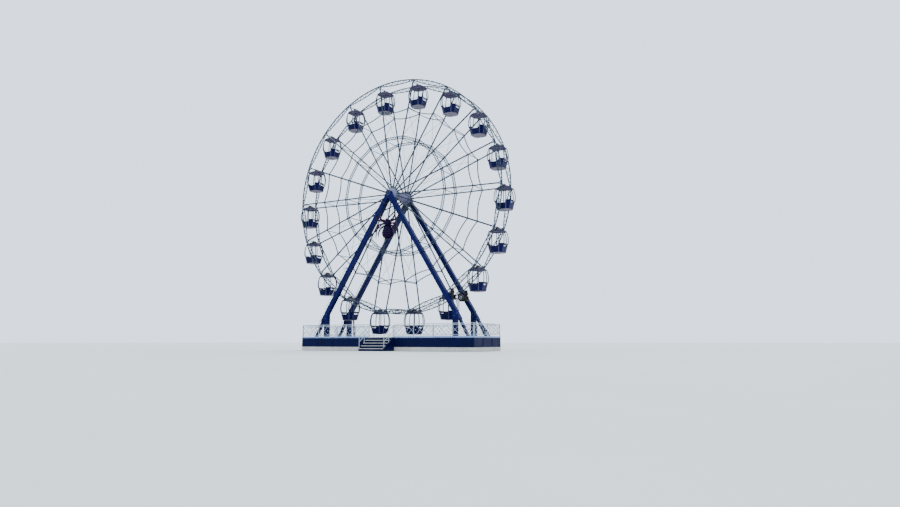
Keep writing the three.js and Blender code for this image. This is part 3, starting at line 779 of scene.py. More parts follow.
def build_shaft_end(side_name, side):
    """Shaft from a hub plate to its end behind the bearing, with a centre boss."""
    out = side * Y_AXIS
    shaft = Shape()
    end = HUB + out * SHAFT_END
    rod(shaft, HUB + out * HUB_PLANE, end, SHAFT_RADIUS - 0.001, 40, 0.008)
    boss = [(0, 0), (0.07, 0), (0.07, 0.006), (0.062, 0.012), (0.03, 0.012), (0, 0.012)]
    shaft.add(turned(boss, 24), spot(end - out * 0.004, out))
    on_wheel(shaft, f"{side_name}_shaft_end", [GREY])


def build_hub_barrel():
    """Drum between the hub plates, with its flanges, bands, stiffening strips and bolts."""
    shape = Shape()
    half = HUB_PLANE - HUB_FACE - 0.001
    flange = BARREL_RADIUS + 0.03
    skin = BARREL_RADIUS - 0.02
    band = BARREL_RADIUS + 0.006
    profile = [(0, -half), (flange, -half), (flange, 0.03 - half), (skin, 0.036 - half)]
    for y in (-0.42, 0.42):
        profile += [(skin, y - 0.03), (band, y - 0.026), (band, y + 0.026), (skin, y + 0.03)]
    profile += [(skin, half - 0.036), (flange, half - 0.03), (flange, half), (0, half)]
    shape.add(turned(profile, 64), spot(HUB, Y_AXIS))
    for bay in range(BAYS):
        angle = node_angle(bay + 0.5)
        base = HUB + radial(angle) * (BARREL_RADIUS - 0.005)
        across = radial(angle + pi / 2)
        for a, b in ((0.03 - half, -0.45), (-0.39, 0.39), (0.45, half - 0.03)):
            girder(shape, base + Y_AXIS * a, base + Y_AXIS * b, 0.05, 0.012, 0.003, 0, across)
        for end in BOTH:
            at = HUB + radial(angle) * (BARREL_RADIUS + 0.008) + end * Y_AXIS * (half - 0.031)
            bolt(shape, 0.011, at, -end * Y_AXIS)
    on_wheel(shape, "hub_drum", [HUB_PAINT, GALVANISED], "hub_barrel")


def build_spacers():
    """Bars that hold the two sets of spokes apart, with a collar at each end."""
    shape = Shape()
    radii = (OUTER_RING_RADIUS + SPACER_OFFSET, INNER_RING_RADIUS - INNER_RING_DEPTH / 2 - SPACER_OFFSET)
    for angle, radius in product(NODE_ANGLES, radii):
        reach = spoke_plane(radius) - SPOKE_SECTION / 2
        rod(shape, in_wheel(radius, angle, -reach), in_wheel(radius, angle, reach), 0.03, 12)
        for side in BOTH:
            end = in_wheel(radius, angle, side * reach)
            rod(shape, end, end - side * Y_AXIS * 0.02, 0.046, 12, 0.003)
    on_wheel(shape, "spoke_spacers", [STEEL])


def build_wires():
    """Crossed bracing wires between the two spoke sets, each with its turnbuckle."""
    shape = Shape()
    for angle, (low, high), side in product(NODE_ANGLES, WIRE_SPANS, BOTH):
        shift = radial(angle - pi / 2) * 0.014 * side
        a = in_wheel(low, angle, side * (spoke_plane(low) - 0.05)) + shift
        b = in_wheel(high, angle, -side * (spoke_plane(high) - 0.05)) + shift
        length = (b - a).length
        rod(shape, a, b, WIRE_RADIUS, 6)
        rod(shape, a.lerp(b, 0.2), a.lerp(b, 0.2 + BUCKLE_LENGTH / length), 0.02, 6, 0.004)
        for end, toward in ((a, b), (b, a)):
            rod(shape, end, end.lerp(toward, LUG_LENGTH / length), 0.018, 6)
    on_wheel(shape, "bracing_wires", [STEEL])


def build_outer_ring(side_name, side):
    """Scalloped ring of two flats with rungs between them."""
    y = side * (spoke_plane(OUTER_RING_RADIUS + 0.033) - SPOKE_SECTION / 2 - 0.03)
    shape = Shape()
    for offset in (-0.022, 0.022):
        flat = bowed(OUTER_RING_RADIUS + offset, OUTER_RING_SAG)
        shape.add(ring(flat, y, flat_section(0.026, 0.064, 0.003), 10))
    chord = bowed(OUTER_RING_RADIUS, OUTER_RING_SAG)
    for node, i in product(NODE_ANGLES, range(RUNGS_PER_BAY)):
        t = i / RUNGS_PER_BAY
        radius = chord(t)
        angle = node + t * BAY
        ends = (in_wheel(radius + reach, angle, y) for reach in (-0.02, 0.02))
        girder(shape, *ends, 0.06 if i else 0.14, 0.036, 0.002)
    on_wheel(shape, f"{side_name}_web_ring", [STEEL], f"{side_name}_outer_ring")
    shares = [i / RUNGS_PER_BAY for i in range(1, RUNGS_PER_BAY)]
    lamp_row(f"{side_name}_web_lamps", Shape(), chord, y + side * 0.018, shares, 0.022, side)


def build_inner_ring(side_name, side):
    """Laced ring girder of two chords that run straight from spoke to spoke."""
    radii = (INNER_RING_RADIUS - INNER_RING_DEPTH / 2, INNER_RING_RADIUS + INNER_RING_DEPTH / 2)
    inner, outer = (straight(radius) for radius in radii)
    y = side * (spoke_plane(radii[1] + 0.025) - SPOKE_SECTION / 2 - 0.0225)
    shape = Shape()
    for chord in (inner, outer):
        shape.add(ring(chord, y, flat_section(0.058, 0.044, 0.006), 4))
    for angle in NODE_ANGLES:
        lace(shape, outer, inner, y, range(LACING_BARS + 1), angle, 0.02)
        girder(shape, *(in_wheel(radius, angle, y) for radius in radii), 0.085, 0.034, 0.004)
    on_wheel(shape, f"{side_name}_ring_girder", [STEEL], f"{side_name}_inner_ring")
    shares = [i / 9 for i in range(1, 9)]
    lamp_row(f"{side_name}_ring_lamps", Shape(), outer, y + side * 0.02, shares, 0.022, side)


build_hub_barrel()
build_axles()
build_spacers()
build_wires()
for side_name, side in SIDES:
    build_rim(side_name, side)
    build_spokes(side_name, side)
    build_hub_plate(side_name, side)
    build_shaft_end(side_name, side)
    build_outer_ring(side_name, side)
    build_inner_ring(side_name, side)


# Gondolas, in heights and distances from their pivot

TUB_BOTTOM = -1.92
TUB_TOP = -1.27
TUB_LOW = -1.49
TUB_UNDERSIDE = -1.98
TUB_BOTTOM_FLAT = 0.537
TUB_TOP_FLAT = 0.68
FLOOR = -1.88
ROOF_CORNER = 0.7
ROOF_CROWN = 0.3
ROOF_EAVE = -0.3
ROOF_SHOULDER = -0.095
ROOF_BULGE = 0.02
WALL = 0.032
QUARTER = pi / 2
CORNER_TURN = pi / 12
SIDE_TURN = pi / 4 - CORNER_TURN
CORNERS = [pi / 4 + k * QUARTER + sign * CORNER_TURN for k in range(4) for sign in BOTH]
ROOF_FLAT = ROOF_CORNER * cos(SIDE_TURN)
CROWN_FLAT = ROOF_CROWN * cos(SIDE_TURN)
PLAN_ROUNDING = 0.03
ROUNDED_TURN = 0.08
PLAN_STEPS = 96
PAD_VOXEL = 0.006
PAD_PRESSURE = 4
PAD_FRAMES = 20


def off_side(angle):
    """Turn away from the nearest of the four sides that face X and Y."""
    return abs((angle + pi / 4) % QUARTER - pi / 4)


def cabin_plan(angle):
    """Radius of a cabin's plan: wide sides at distance 1 along X and Y, a narrow panel at each diagonal."""
    turn = off_side(angle)
    if turn < SIDE_TURN:
        radius = 1 / cos(turn)
    else:
        radius = cos(CORNER_TURN) / cos(SIDE_TURN) / cos(pi / 4 - turn)
    left = abs(turn - SIDE_TURN)
    if left < ROUNDED_TURN:
        radius -= PLAN_ROUNDING / 2 * (1 + cos(left / ROUNDED_TURN * pi))
    return radius


def tub_flat(z):
    """Distance of the tub's sides from the pivot's plumb line at a height."""
    return TUB_BOTTOM_FLAT + (TUB_TOP_FLAT - TUB_BOTTOM_FLAT) * (z - TUB_BOTTOM) / (TUB_TOP - TUB_BOTTOM)


def rim_height(angle):
    """Top of the tub's wall: high on the corner panels, low on the four sides."""
    t = min(max((off_side(angle) - 0.445) / 0.05, 0), 1)
    return TUB_LOW + (TUB_TOP - TUB_LOW) * t * t * (3 - 2 * t)


def tub_point(angle, z, inset=0.0):
    """Point of the tub's wall at a turn and a height."""
    return polar((tub_flat(z) - inset) * cabin_plan(angle), angle, z)


def cabin_loop(flat, z, steps=48):
    """Level loop of a cabin's plan whose wide sides lie at the given distance."""
    return [polar(flat * cabin_plan(angle), angle, z) for angle in full_turn(steps)]


def sideways(angle):
    """Level direction square to a corner line of the cabins."""
    return polar(1, angle + QUARTER)


def build_tub():
    """Open tub of a cabin with its two bands."""
    shape = Shape()
    angles = full_turn(PLAN_STEPS)
    rows = 4
    loops = []
    for base, inset, order in (
        (TUB_BOTTOM, 0, range(rows + 1)),
        (TUB_BOTTOM + 0.03, WALL, range(rows, -1, -1)),
    ):
        for row in order:
            loops.append([tub_point(a, base + (rim_height(a) - base) * row / rows, inset) for a in angles])
    shape.add(loft(loops, True))
    for low, height, proud in ((TUB_BOTTOM, 0.04, 0.012), (TUB_LOW - 0.06, 0.025, 0.007)):
        high = low + height
        band = ((low, 0.01), (low, -proud), (high, -proud), (high, 0.01))
        shape.add(loft([[tub_point(a, z, inset) for a in angles] for z, inset in band], True))
    in_cabins(shape, "tub", [TUB], replacing=True)


def build_tub_trim():
    """Seams with their screws on the tub's corner lines, and its padded lip."""
    trim = Shape()
    for angle in CORNERS:
        out = polar(1, angle)
        for low, high in ((TUB_BOTTOM + 0.045, TUB_LOW - 0.065), (TUB_LOW - 0.03, TUB_TOP - 0.03)):
            a = tub_point(angle, low, 0.008)
            b = tub_point(angle, high, 0.008)
            girder(trim, a, b, 0.03, 0.055, 0.006, 0, sideways(angle))
            inward = (b - a).normalized() * 0.03
            for end in (a + inward, b - inward):
                bolt(trim, 0.009, end + out * 0.014, out, 2, SCREW_HEAD)
    lip = [tub_point(a, rim_height(a) + 0.002, WALL / 2) for a in full_turn(PLAN_STEPS)]
    trim.add(tube(lip, 0.021, 6, True), None, 1)
    in_cabins(trim, "tub_trim", [SEAM, NAVY, GALVANISED])


def build_door():
    """Door in the front side of the tub: frame strips, hinges, latch and its handle."""
    shape = Shape()

    def face(x, z, proud):
        """Point in front of the tub's front side."""
        return Vector((x, -(tub_flat(z) + proud), z))

    def strip(x0, z0, x1, z1, proud, width, depth, bevel, paint, guide=Z_AXIS):
        """Bar that lies on the tub's front side."""
        girder(shape, face(x0, z0, proud), face(x1, z1, proud), width, depth, bevel, paint, guide)

    low = TUB_BOTTOM + 0.06
    high = TUB_LOW - 0.07
    latch = high - 0.05
    for x in (-0.215, 0.215):
        strip(x, low, x, high, 0.002, 0.022, 0.014, 0.003, 0, Y_AXIS)
    for z in (low, high):
        strip(-0.226, z, 0.226, z, 0.002, 0.014, 0.022, 0.003, 0)
    for z in (low + 0.07, latch):
        rod(shape, face(-0.232, z - 0.035, 0.012), face(-0.232, z + 0.035, 0.012), 0.011, 12, 0.002, 1)
        strip(-0.23, z, -0.15, z, 0.006, 0.008, 0.03, 0.002, 1)
    strip(0.15, latch, 0.26, latch, 0.008, 0.016, 0.034, 0.004, 1)
    rod(shape, face(0.17, latch, 0.01), face(0.17, latch, 0.045), 0.009, 12, 0.002, 1)
    rod(shape, face(0.17, latch - 0.05, 0.04), face(0.17, latch + 0.02, 0.04), 0.01, 12, 0.003, 1)
    in_cabins(shape, "tub_door", [NAVY, BLACK])


def build_underside():
    """Shallow pan below the floor with ribs and a drain ring."""
    shape = Shape()
    levels = (
        (-0.01, TUB_BOTTOM + 0.012),
        (-0.012, TUB_BOTTOM),
        (0.02, TUB_BOTTOM - 0.012),
        (0.24, TUB_BOTTOM - 0.034),
        (0.46, TUB_UNDERSIDE + 0.006),
    )
    shape.add(loft([cabin_loop(TUB_BOTTOM_FLAT - inset, z) for inset, z in levels]))
    for angle in CORNERS:
        a = polar(0.54, angle, TUB_BOTTOM - 0.012)
        b = polar(0.1, angle, TUB_UNDERSIDE + 0.014)
        girder(shape, a, b, 0.022, 0.035, 0.004, 0, sideways(angle))
    drain = [(0.06, 0), (0.1, 0), (0.1, 0.02), (0.06, 0.02)]
    shape.add(washer(drain, 24), spot(Z_AXIS * TUB_UNDERSIDE))
    in_cabins(shape, "tub_underside", [BEIGE])


def build_cabin_floor():
    """Tread plate inside the tub."""
    floor = Shape()
    outline = [p[:2] for p in cabin_loop(tub_flat(FLOOR) - WALL + 0.004, 0, 24)]
    floor.add(plate(outline, 0.02), Matrix.Translation(Z_AXIS * (FLOOR - 0.01)))
    in_cabins(floor, "cabin_floor", [TREAD])


def cushion(width, depth, height, bulge=0.35):
    """Padded block round the origin with crowned faces and pulled-in edges."""
    steps = 10
    points = []
    faces = []
    index = {}

    def vertex(*key):
        if key not in index:
            u, v, w = (2 * n / steps - 1 for n in key)
            index[key] = len(points)
            pairs = ((v, w), (u, w), (u, v))
            shrink = [1 - 0.06 * (abs(b) ** 6 + abs(c) ** 6) for b, c in pairs]
            crown = [1 + bulge * 0.12 * (1 - b * b) * (1 - c * c) for b, c in pairs]
            points.append((
                u * width / 2 * shrink[0] * crown[0],
                v * depth / 2 * shrink[1] * crown[1],
                w * height / 2 * shrink[2] * (1 + bulge * (1 - u * u) * (1 - v * v)),
            ))
        return index[key]

    corners = ((0, 0), (1, 0), (1, 1), (0, 1))
    for a, b, end in product(range(steps), range(steps), (0, steps)):
        faces.append(tuple(vertex(a + i, b + j, end) for i, j in corners))
        faces.append(tuple(vertex(a + i, end, b + j) for i, j in corners))
        faces.append(tuple(vertex(end, a + i, b + j) for i, j in corners))
    return points, faces


def evaluated_mesh(piece):
    """Mesh of a piece as its modifiers leave it."""
    depsgraph = bpy.context.evaluated_depsgraph_get()
    return bpy.data.meshes.new_from_object(piece.evaluated_get(depsgraph))


def plumped(form, reach, faces_kept):
    pad = added("pad_form", solid_mesh("pad_form", *form))
    remesh = pad.modifiers.new("Remesh", "REMESH")
    remesh.mode = "VOXEL"
    remesh.voxel_size = PAD_VOXEL
    pad.data = evaluated_mesh(pad)
    pad.modifiers.clear()
    start = [v.co.copy() for v in pad.data.vertices]
    cloth = pad.modifiers.new("Cloth", "CLOTH")
    cloth.settings.use_pressure = True
    cloth.settings.uniform_pressure_force = PAD_PRESSURE
    cloth.settings.effector_weights.gravity = 0
    for step in range(1, PAD_FRAMES + 1):
        bpy.context.scene.frame_set(step)
    swelled = evaluated_mesh(pad)
    pad.modifiers.clear()
    bpy.context.scene.frame_set(1)
    for vertex, before in zip(swelled.vertices, start):
        move = vertex.co - before
        if move.length > reach:
            vertex.co = before + move.normalized() * reach
    pad.data = swelled
    thin = pad.modifiers.new("Decimate", "DECIMATE")
    thin.ratio = min(1, faces_kept / (2 * len(swelled.polygons)))
    kept = evaluated_mesh(pad)
    plump = ([v.co[:] for v in kept.vertices], [tuple(p.vertices) for p in kept.polygons])
    bpy.data.objects.remove(pad)
    return plump


def welt(width, depth, radius=0.006, corner=0.03):
    """Piping sewn round a pad of the given plan."""
    path = []
    for k, (x, y) in enumerate(((1, 1), (-1, 1), (-1, -1), (1, -1))):
        centre = Vector((x * (width / 2 - corner), y * (depth / 2 - corner), 0))
        path += [centre + polar(corner, (k + i / 3) * QUARTER) for i in range(4)]
    return tube(path, radius, 6, True)


def build_seats():
    """Two benches that face each other: box, footrail, piped seat pad and back pad."""
    base = Shape()
    pads = Shape()
    backs = Shape()
    seat = plumped(cushion(0.235, 0.66, 0.06), 0.012, 1100)
    back = plumped(cushion(0.045, 0.5, 0.14, 0.15), 0.008, 900)
    for side in BOTH:
        x0, x1 = sorted((side * 0.32, side * 0.505))
        slab(base, (x0, -0.3, FLOOR), (x1, 0.3, FLOOR + 0.3), 0.02)
        rod(base, (side * 0.325, -0.28, FLOOR + 0.06), (side * 0.325, 0.28, FLOOR + 0.06), 0.012)
        place = Matrix.Translation((side * 0.445, 0, FLOOR + 0.335))
        pads.add(seat, place)
        pads.add(welt(0.245, 0.67), place @ Matrix.Translation((0, 0, 0.012)))
        lean = Matrix.Rotation(side * -0.22, 4, "Y")
        backs.add(back, Matrix.Translation((side * 0.622, 0, TUB_TOP - 0.065)) @ lean)
    in_cabins(base, "seat_box", [TUB])
    for pad in in_cabins(pads, "seat_pads", [SEAT]):
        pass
    for pad in in_cabins(backs, "seat_backs", [BACK]):
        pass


def build_posts():
    """Bowed posts between tub and roof, with a socket at each end."""
    shape = Shape()
    foot_z = TUB_TOP - 0.03
    for angle in CORNERS:
        path = []
        for i in range(9):
            t = i / 8
            radius = 0.765 - 0.1 * t + 0.082 * 4 * t * (1 - t)
            path.append(polar(radius, angle, foot_z + (ROOF_EAVE - TUB_TOP) * t))
        shape.add(tube(path, 0.034, 8))
        rod(shape, path[0], path[0] + Z_AXIS * 0.05, 0.042, 10, 0.004)
        rod(shape, path[-1] - Z_AXIS * 0.04, path[-1], 0.042, 10, 0.004)
    in_cabins(shape, "cabin_posts", [GREY])


def build_cabin_rails():
    """Grab rails along three sides, and the bar above the doorway on its two struts."""
    rails = Shape()
    for facing in (0, QUARTER, pi):
        ends = (polar(0.77, facing + sign * SIDE_TURN, TUB_TOP + 0.005) for sign in BOTH)
        rod(rails, *ends, 0.024, 10, 0.004)
    gate = TUB_LOW + 0.14
    rod(rails, (-0.34, -0.655, gate), (0.34, -0.655, gate), 0.013, 8, 0.003)
    for x in (-0.18, 0.18):
        rod(rails, (x, -0.635, TUB_LOW), (x, -0.655, gate), 0.01, 8, 0.002)
    in_cabins(rails, "cabin_rails", [BLACK])


def roof_slope(t):
    """Height of the roof from eave (0) to shoulder (1), a little crowned."""
    return ROOF_EAVE + (ROOF_SHOULDER - ROOF_EAVE) * t + ROOF_BULGE * sin(pi * t)


def build_roof():
    """Faceted roof with seams and eave bead."""
    top = Shape()
    rims = ((-0.06, -0.038), (-0.004, -0.04), (0.002, -0.03), (0, 0))
    loops = [cabin_loop(ROOF_FLAT + proud, ROOF_EAVE + z) for proud, z in rims]
    for t in (i / 6 for i in range(1, 6)):
        loops.append(cabin_loop(ROOF_FLAT + (CROWN_FLAT - ROOF_FLAT) * t, roof_slope(t)))
    for share, lift in ((1, 0), (0.85, 0.008), (0.4, 0.012), (0.05, 0.013)):
        loops.append(cabin_loop(CROWN_FLAT * share, ROOF_SHOULDER + lift))
    top.add(loft(loops))
    low = ROOF_CORNER - 0.03
    high = ROOF_CROWN - 0.02
    for angle in CORNERS:
        path = [polar(low + (high - low) * i / 5, angle, roof_slope(i / 5) + 0.006) for i in range(6)]
        top.add(tube(path, 0.012, 6))
    top.add(tube(cabin_loop(ROOF_FLAT + 0.001, ROOF_EAVE - 0.02), 0.013, 6, True), None, 1)
    in_cabins(top, "cabin_roof", [PLUM, SEAM])


def build_ceiling():
    """Lining below the roof, with a rib at each corner line."""
    ceiling = Shape()
    inner = ROOF_FLAT - 0.03
    levels = ((inner, -0.034), (inner, -0.044), (0.44, -0.046), (0.22, -0.04), (0.05, -0.037))
    ceiling.add(loft([cabin_loop(flat, ROOF_EAVE + z) for flat, z in levels]))
    for angle in CORNERS:
        ends = (polar(0.12, angle, ROOF_EAVE - 0.042), polar(0.64, angle, ROOF_EAVE - 0.048))
        girder(ceiling, *ends, 0.024, 0.024, 0.004, 0, sideways(angle))
    in_cabins(ceiling, "cabin_ceiling", [LILAC])


def build_eave_lamps():
    """Cap lamps round the eave: three on each side, two on each corner panel."""
    lamps = Shape()
    for k in range(8):
        facing = k * pi / 4
        for turn in (-0.2, 0.2) if k % 2 else (-0.36, 0, 0.36):
            angle = facing + turn
            at = polar(ROOF_FLAT * cabin_plan(angle) - 0.002, angle, ROOF_EAVE - 0.012)
            lamp(lamps, at, polar(1, facing), 0.016)
    in_cabins(lamps, "eave_lamps", [GREY, GLASS])


def build_hanger():
    """Bearing sleeve over the axle with its cheek plates and foot on the roof."""
    shape = Shape()
    bore = 0.0455
    half = 0.215
    sleeve = [(bore, -half), (0.072, -half), (0.075, -0.21), (0.075, 0.21), (0.072, half), (bore, half)]
    shape.add(washer(sleeve, 28), spot(Vector(), Y_AXIS))
    cheek = [(-0.12, -0.078), (0.12, -0.078), (0.12, -0.06), (0.076, -0.01), (0.05, -0.052)]
    cheek += [(-0.05, -0.052), (-0.076, -0.01), (-0.12, -0.06)]
    for y in (-0.17, 0, 0.17):
        shape.add(plate(cheek, 0.014), Matrix.Translation((0, y, 0)) @ UPRIGHT)
    slab(shape, (-0.14, -0.21, -0.092), (0.14, 0.21, -0.074), 0.003)
    bolt_corners(shape, 0.011, (0, 0, -0.075), 0.122, 0.19)
    nut = [(bore, 0), (0.062, 0), (0.062, 0.012), (bore, 0.012)]
    for side in BOTH:
        shape.add(washer(nut, 6), spot((0, side * half, 0), side * Y_AXIS), 1)
    in_cabins(shape, "cabin_hanger", [GREY, GALVANISED])


build_tub()
build_tub_trim()
build_door()
build_underside()
build_cabin_floor()
build_seats()
build_posts()
build_cabin_rails()
build_roof()
build_ceiling()
build_eave_lamps()
build_hanger()


# Supports


def jack(shape, x, y, plinth, screw_top, sleeve, sleeve_bevel, nut_z, nut_radius):
    """Levelling foot: two plates on the ground, a screw, a sleeve between two heights and a nut."""
    upright_box(shape, (x, y), PAD_HALF, PAD_HALF, 0, PAD_THICKNESS)
    upright_box(shape, (x, y), plinth, plinth, 0.02, 0.04)
    rod(shape, (x, y, 0.03), (x, y, screw_top), 0.045, 20, 0.003, 1)
    rod(shape, (x, y, sleeve[0]), (x, y, sleeve[1]), 0.075, 20, sleeve_bevel)
    rod(shape, (x, y, nut_z), (x, y, nut_z + 0.04), nut_radius, 6, 0.004, 1)


def build_splice(shape, centre, down, across):
    """Flanged joint across a leg: two plates and the bolts through them."""
    for step in (-0.022, 0.002):
        a = centre + down * step
        girder(shape, a, a + down * 0.02, LEG_WIDTH + 0.09, LEG_DEPTH + 0.09, 0.003)
    half_width = across * LEG_WIDTH / 2
    half_depth = Y_AXIS * LEG_DEPTH / 2
    for u, v in product((-0.8, -0.27, 0.27, 0.8), BOTH):
        on_front = half_width * u + half_depth * v + v * Y_AXIS * 0.024
        on_side = half_width * v + half_depth * u + v * across * 0.024
        for shift in (on_front, on_side):
            bolt(shape, 0.012, centre - down * 0.022 + shift, -down)


def build_leg_girder(shape, top, knee, across, inset):
    """Box girder from the bearing head to the knee, with corner strips, ribs and two splices."""
    length = (knee - top).length
    down = (knee - top).normalized()
    girder(shape, top, knee + down * 0.02, LEG_WIDTH - inset, LEG_DEPTH - inset, 0.01)
    for u, v in product(BOTH, BOTH):
        shift = across * u * (LEG_WIDTH / 2 - 0.03) + Y_AXIS * v * (LEG_DEPTH / 2 - 0.03)
        girder(shape, top + down * 0.5 + shift, knee + shift, 0.06, 0.06, 0.005)
    for i in range(1, 10):
        centre = top + down * length * i / 10
        rib = (centre - down * 0.008, centre + down * 0.008)
        girder(shape, *rib, LEG_WIDTH + 0.004, LEG_DEPTH + 0.004, 0.003)
    for share in (0.07, 0.52):
        build_splice(shape, top + down * length * share, down, across)


def build_column(shape, x, y):
    """Column below the knee with its collars, and the raking strut beside it on a bolted foot."""
    column = (x * COLUMN_X, y)
    half = (COLUMN_WIDTH / 2, LEG_DEPTH / 2)
    upright_box(shape, column, *half, CHASSIS_TOP, COLUMN_TOP, 0.01)
    for lift in (0.012, 0.75, 1.5):
        z = CHASSIS_TOP + lift
        upright_box(shape, column, half[0] + 0.03, half[1] + 0.03, z - 0.01, z + 0.01, 0.003)
    strut_top = Vector((x * STRUT_TOP[0], y, STRUT_TOP[1]))
    strut_foot = Vector((x * STRUT_FOOT_X, y, CHASSIS_TOP + 0.01))
    girder(shape, strut_top, strut_foot, *STRUT_SECTION, 0.01)
    upright_box(shape, strut_foot, 0.13, 0.145, CHASSIS_TOP, CHASSIS_TOP + 0.022, 0.003)
    bolt_corners(shape, 0.014, strut_foot + Z_AXIS * 0.012, 0.11, 0.12)


def build_gussets(shape, x, y):
    """Bolted plates on both faces of the knee."""
    gusset = [(0.13, 0.02), (0.42, -0.5), (0.34, -0.62), (0.1, -0.42), (-0.16, -0.36), (-0.2, 0.1)]
    for face in BOTH:
        centre = Vector((x * GUSSET_AT[0], y + face * (LEG_DEPTH / 2 + 0.004), GUSSET_AT[1]))
        shape.add(plate([(x * u, w) for u, w in gusset], 0.014), Matrix.Translation(centre) @ UPRIGHT)
        for u, w in ((-0.1, 0.0), (-0.06, -0.28), (0.14, -0.1), (0.3, -0.45)):
            bolt(shape, 0.013, centre + Vector((x * u, face * 0.007, w)), face * Y_AXIS)


def build_leg(side_name, side, end_name, x):
    """One leg of an A-frame with the lamps on its outer face. The left one carries the ladder."""
    shape = Shape()
    hub = Vector((0, side * LEG_PLANE, HUB.z))
    knee = Vector((x * KNEE[0], hub.y, KNEE[1]))
    down = (knee - hub).normalized()
    across = Y_AXIS.cross(down).normalized()
    # Legs that meet at the hub differ by a hair, so that their faces don't fall together
    build_leg_girder(shape, hub + down * 0.1, knee, across, 0.016 if x < 0 else 0.019)
    build_column(shape, x, hub.y)
    build_gussets(shape, x, hub.y)
    name = f"{side_name}_{end_name}_leg"
    on_frame(shape, name + "_girder", "blue_steel", [BLUE, GALVANISED], name)

    lamps = Shape()
    for i, u in product(range(LEG_LAMPS), BOTH):
        along = LEG_LAMPS_FROM + LEG_LAMPS_OVER * i / (LEG_LAMPS - 1)
        at = hub + down * along + across * u * (LEG_WIDTH / 2 - 0.04)
        lamp(lamps, at + side * Y_AXIS * (LEG_DEPTH / 2 + 0.001), side * Y_AXIS, 0.013)
    on_frame(lamps, name + "_lamps", "blue_steel", [BLUE, GLASS])
    if x < 0:
        build_ladder(side_name, hub, down, across)


def build_ladder(side_name, hub, down, across):
    """Service ladder on the outer face of a left leg, carried on down the strut, with a rest plate."""
    shape = Shape()
    out = across if across.x < 0 else -across
    strut_top = Vector((-STRUT_TOP[0], hub.y, STRUT_TOP[1]))
    strut_down = (Vector((-STRUT_FOOT_X, hub.y, CHASSIS_TOP)) - strut_top).normalized()
    strut_out = Vector((strut_down.z, 0, -strut_down.x))
    head = hub + down * LADDER_START + out * (LEG_WIDTH / 2)
    flights = (
        (head + out * 0.15, down, out, 4.1, 15),
        (strut_top + strut_out * 0.22, strut_down, strut_out, 1.9, 7),
    )
    stiles = (-Y_AXIS * RUNG_REACH, Y_AXIS * RUNG_REACH)
    for start, way, away, length, rungs in flights:
        for stile in stiles:
            rod(shape, start + stile, start + way * length + stile, 0.016)
        for i in range(rungs):
            centre = start + way * length * (i + 0.5) / rungs
            rod(shape, centre + stiles[0], centre + stiles[1], 0.012)
            if i % 4 == 1:
                for stile in stiles:
                    rod(shape, centre + stile, centre + stile - away * 0.155, 0.012)
    plate_ends = (head + Vector((-0.5, -0.19, -0.02)), head + Vector((0, 0.19, 0.01)))
    slab(shape, *plate_ends, 0.003)
    for y in (-0.17, 0.17):
        brace = head + Y_AXIS * y
        rod(shape, brace + Vector((-0.45, 0, -0.02)), brace + down * 0.45, 0.014)
    on_frame(shape, f"{side_name}_left_leg_ladder", "grey_steel", [RAIL_PAINT])


def build_bearing_head(side_name, side):
    """Housing of the shaft's bearing at the top of an A-frame, with its bolts and a web below it."""
    shape = Shape()
    half = LEG_DEPTH / 2
    bore = 0.1125
    profile = [(bore, -half), (HEAD_RADIUS - 0.02, -half), (HEAD_RADIUS, 0.02 - half)]
    profile += [(HEAD_RADIUS, half + 0.002), (HEAD_RADIUS - 0.016, half + 0.018)]
    profile += [(0.172, half + 0.022), (0.165, half + 0.04), (bore, half + 0.04)]
    out = side * Y_AXIS
    centre = HUB + out * LEG_PLANE
    shape.add(washer(profile, 72), spot(centre, out))
    bolt_circle(shape, 0.013, centre + out * (half + 0.02), out, 0.192, 12)
    web = [(-0.16, -0.3), (0.16, -0.3), (0.3, -0.62), (0.2, -0.62), (0, -0.4)]
    web += [(-0.2, -0.62), (-0.3, -0.62)]
    for face in BOTH:
        shape.add(plate(web, 0.014), Matrix.Translation(centre + face * Y_AXIS * (half + 0.006)) @ UPRIGHT)
    name = f"{side_name}_bearing"
    on_frame(shape, name + "_housing", "blue_steel", [BLUE, GALVANISED], name + "_head")


def build_tyre(side_name, centre, radius, half):
    """Grooved tyre of a drive."""
    name = f"{side_name}_drive_tyre"
    shape = Shape()
    wall = [(0.15, 0.012 - half), (0.2, 0.002 - half), (radius - 0.03, -half)]
    wall += [(radius - 0.008, 0.014 - half), (radius, 0.035 - half)]
    loop = list(wall)
    groove = ((0, -0.006), (0.01, -0.004), (0.01, 0.004), (0, 0.006))
    for y in (-0.028, 0, 0.028):
        loop += [(radius - depth, y + v) for depth, v in groove]
    loop += [(r, -y) for r, y in reversed(wall)]
    shape.add(washer(loop, 64), spot(centre, Y_AXIS))
    make(shape, f"{side_name}_tyre", [TYRE], [("", Vector(), name, [name])])


def build_tyre_wheel(side_name, side, centre):
    """Pressed wheel that the tyre sits on, bolted to the stub."""
    disc = Shape()
    section = [(0.034, -0.05), (0.07, -0.05), (0.075, -0.012), (0.13, -0.008)]
    section += [(0.14, -0.055), (0.158, -0.06)]
    section += [(r, -y) for r, y in reversed(section)]
    disc.add(washer(section, 40), spot(centre, Y_AXIS))
    bolt_circle(disc, 0.01, centre + side * Y_AXIS * 0.01, side * Y_AXIS, 0.102, 6, paint=0)
    body = f"{side_name}_drive_tyre"
    make(disc, f"{side_name}_tyre_wheel", [GALVANISED], [("", Vector(), body, [])])


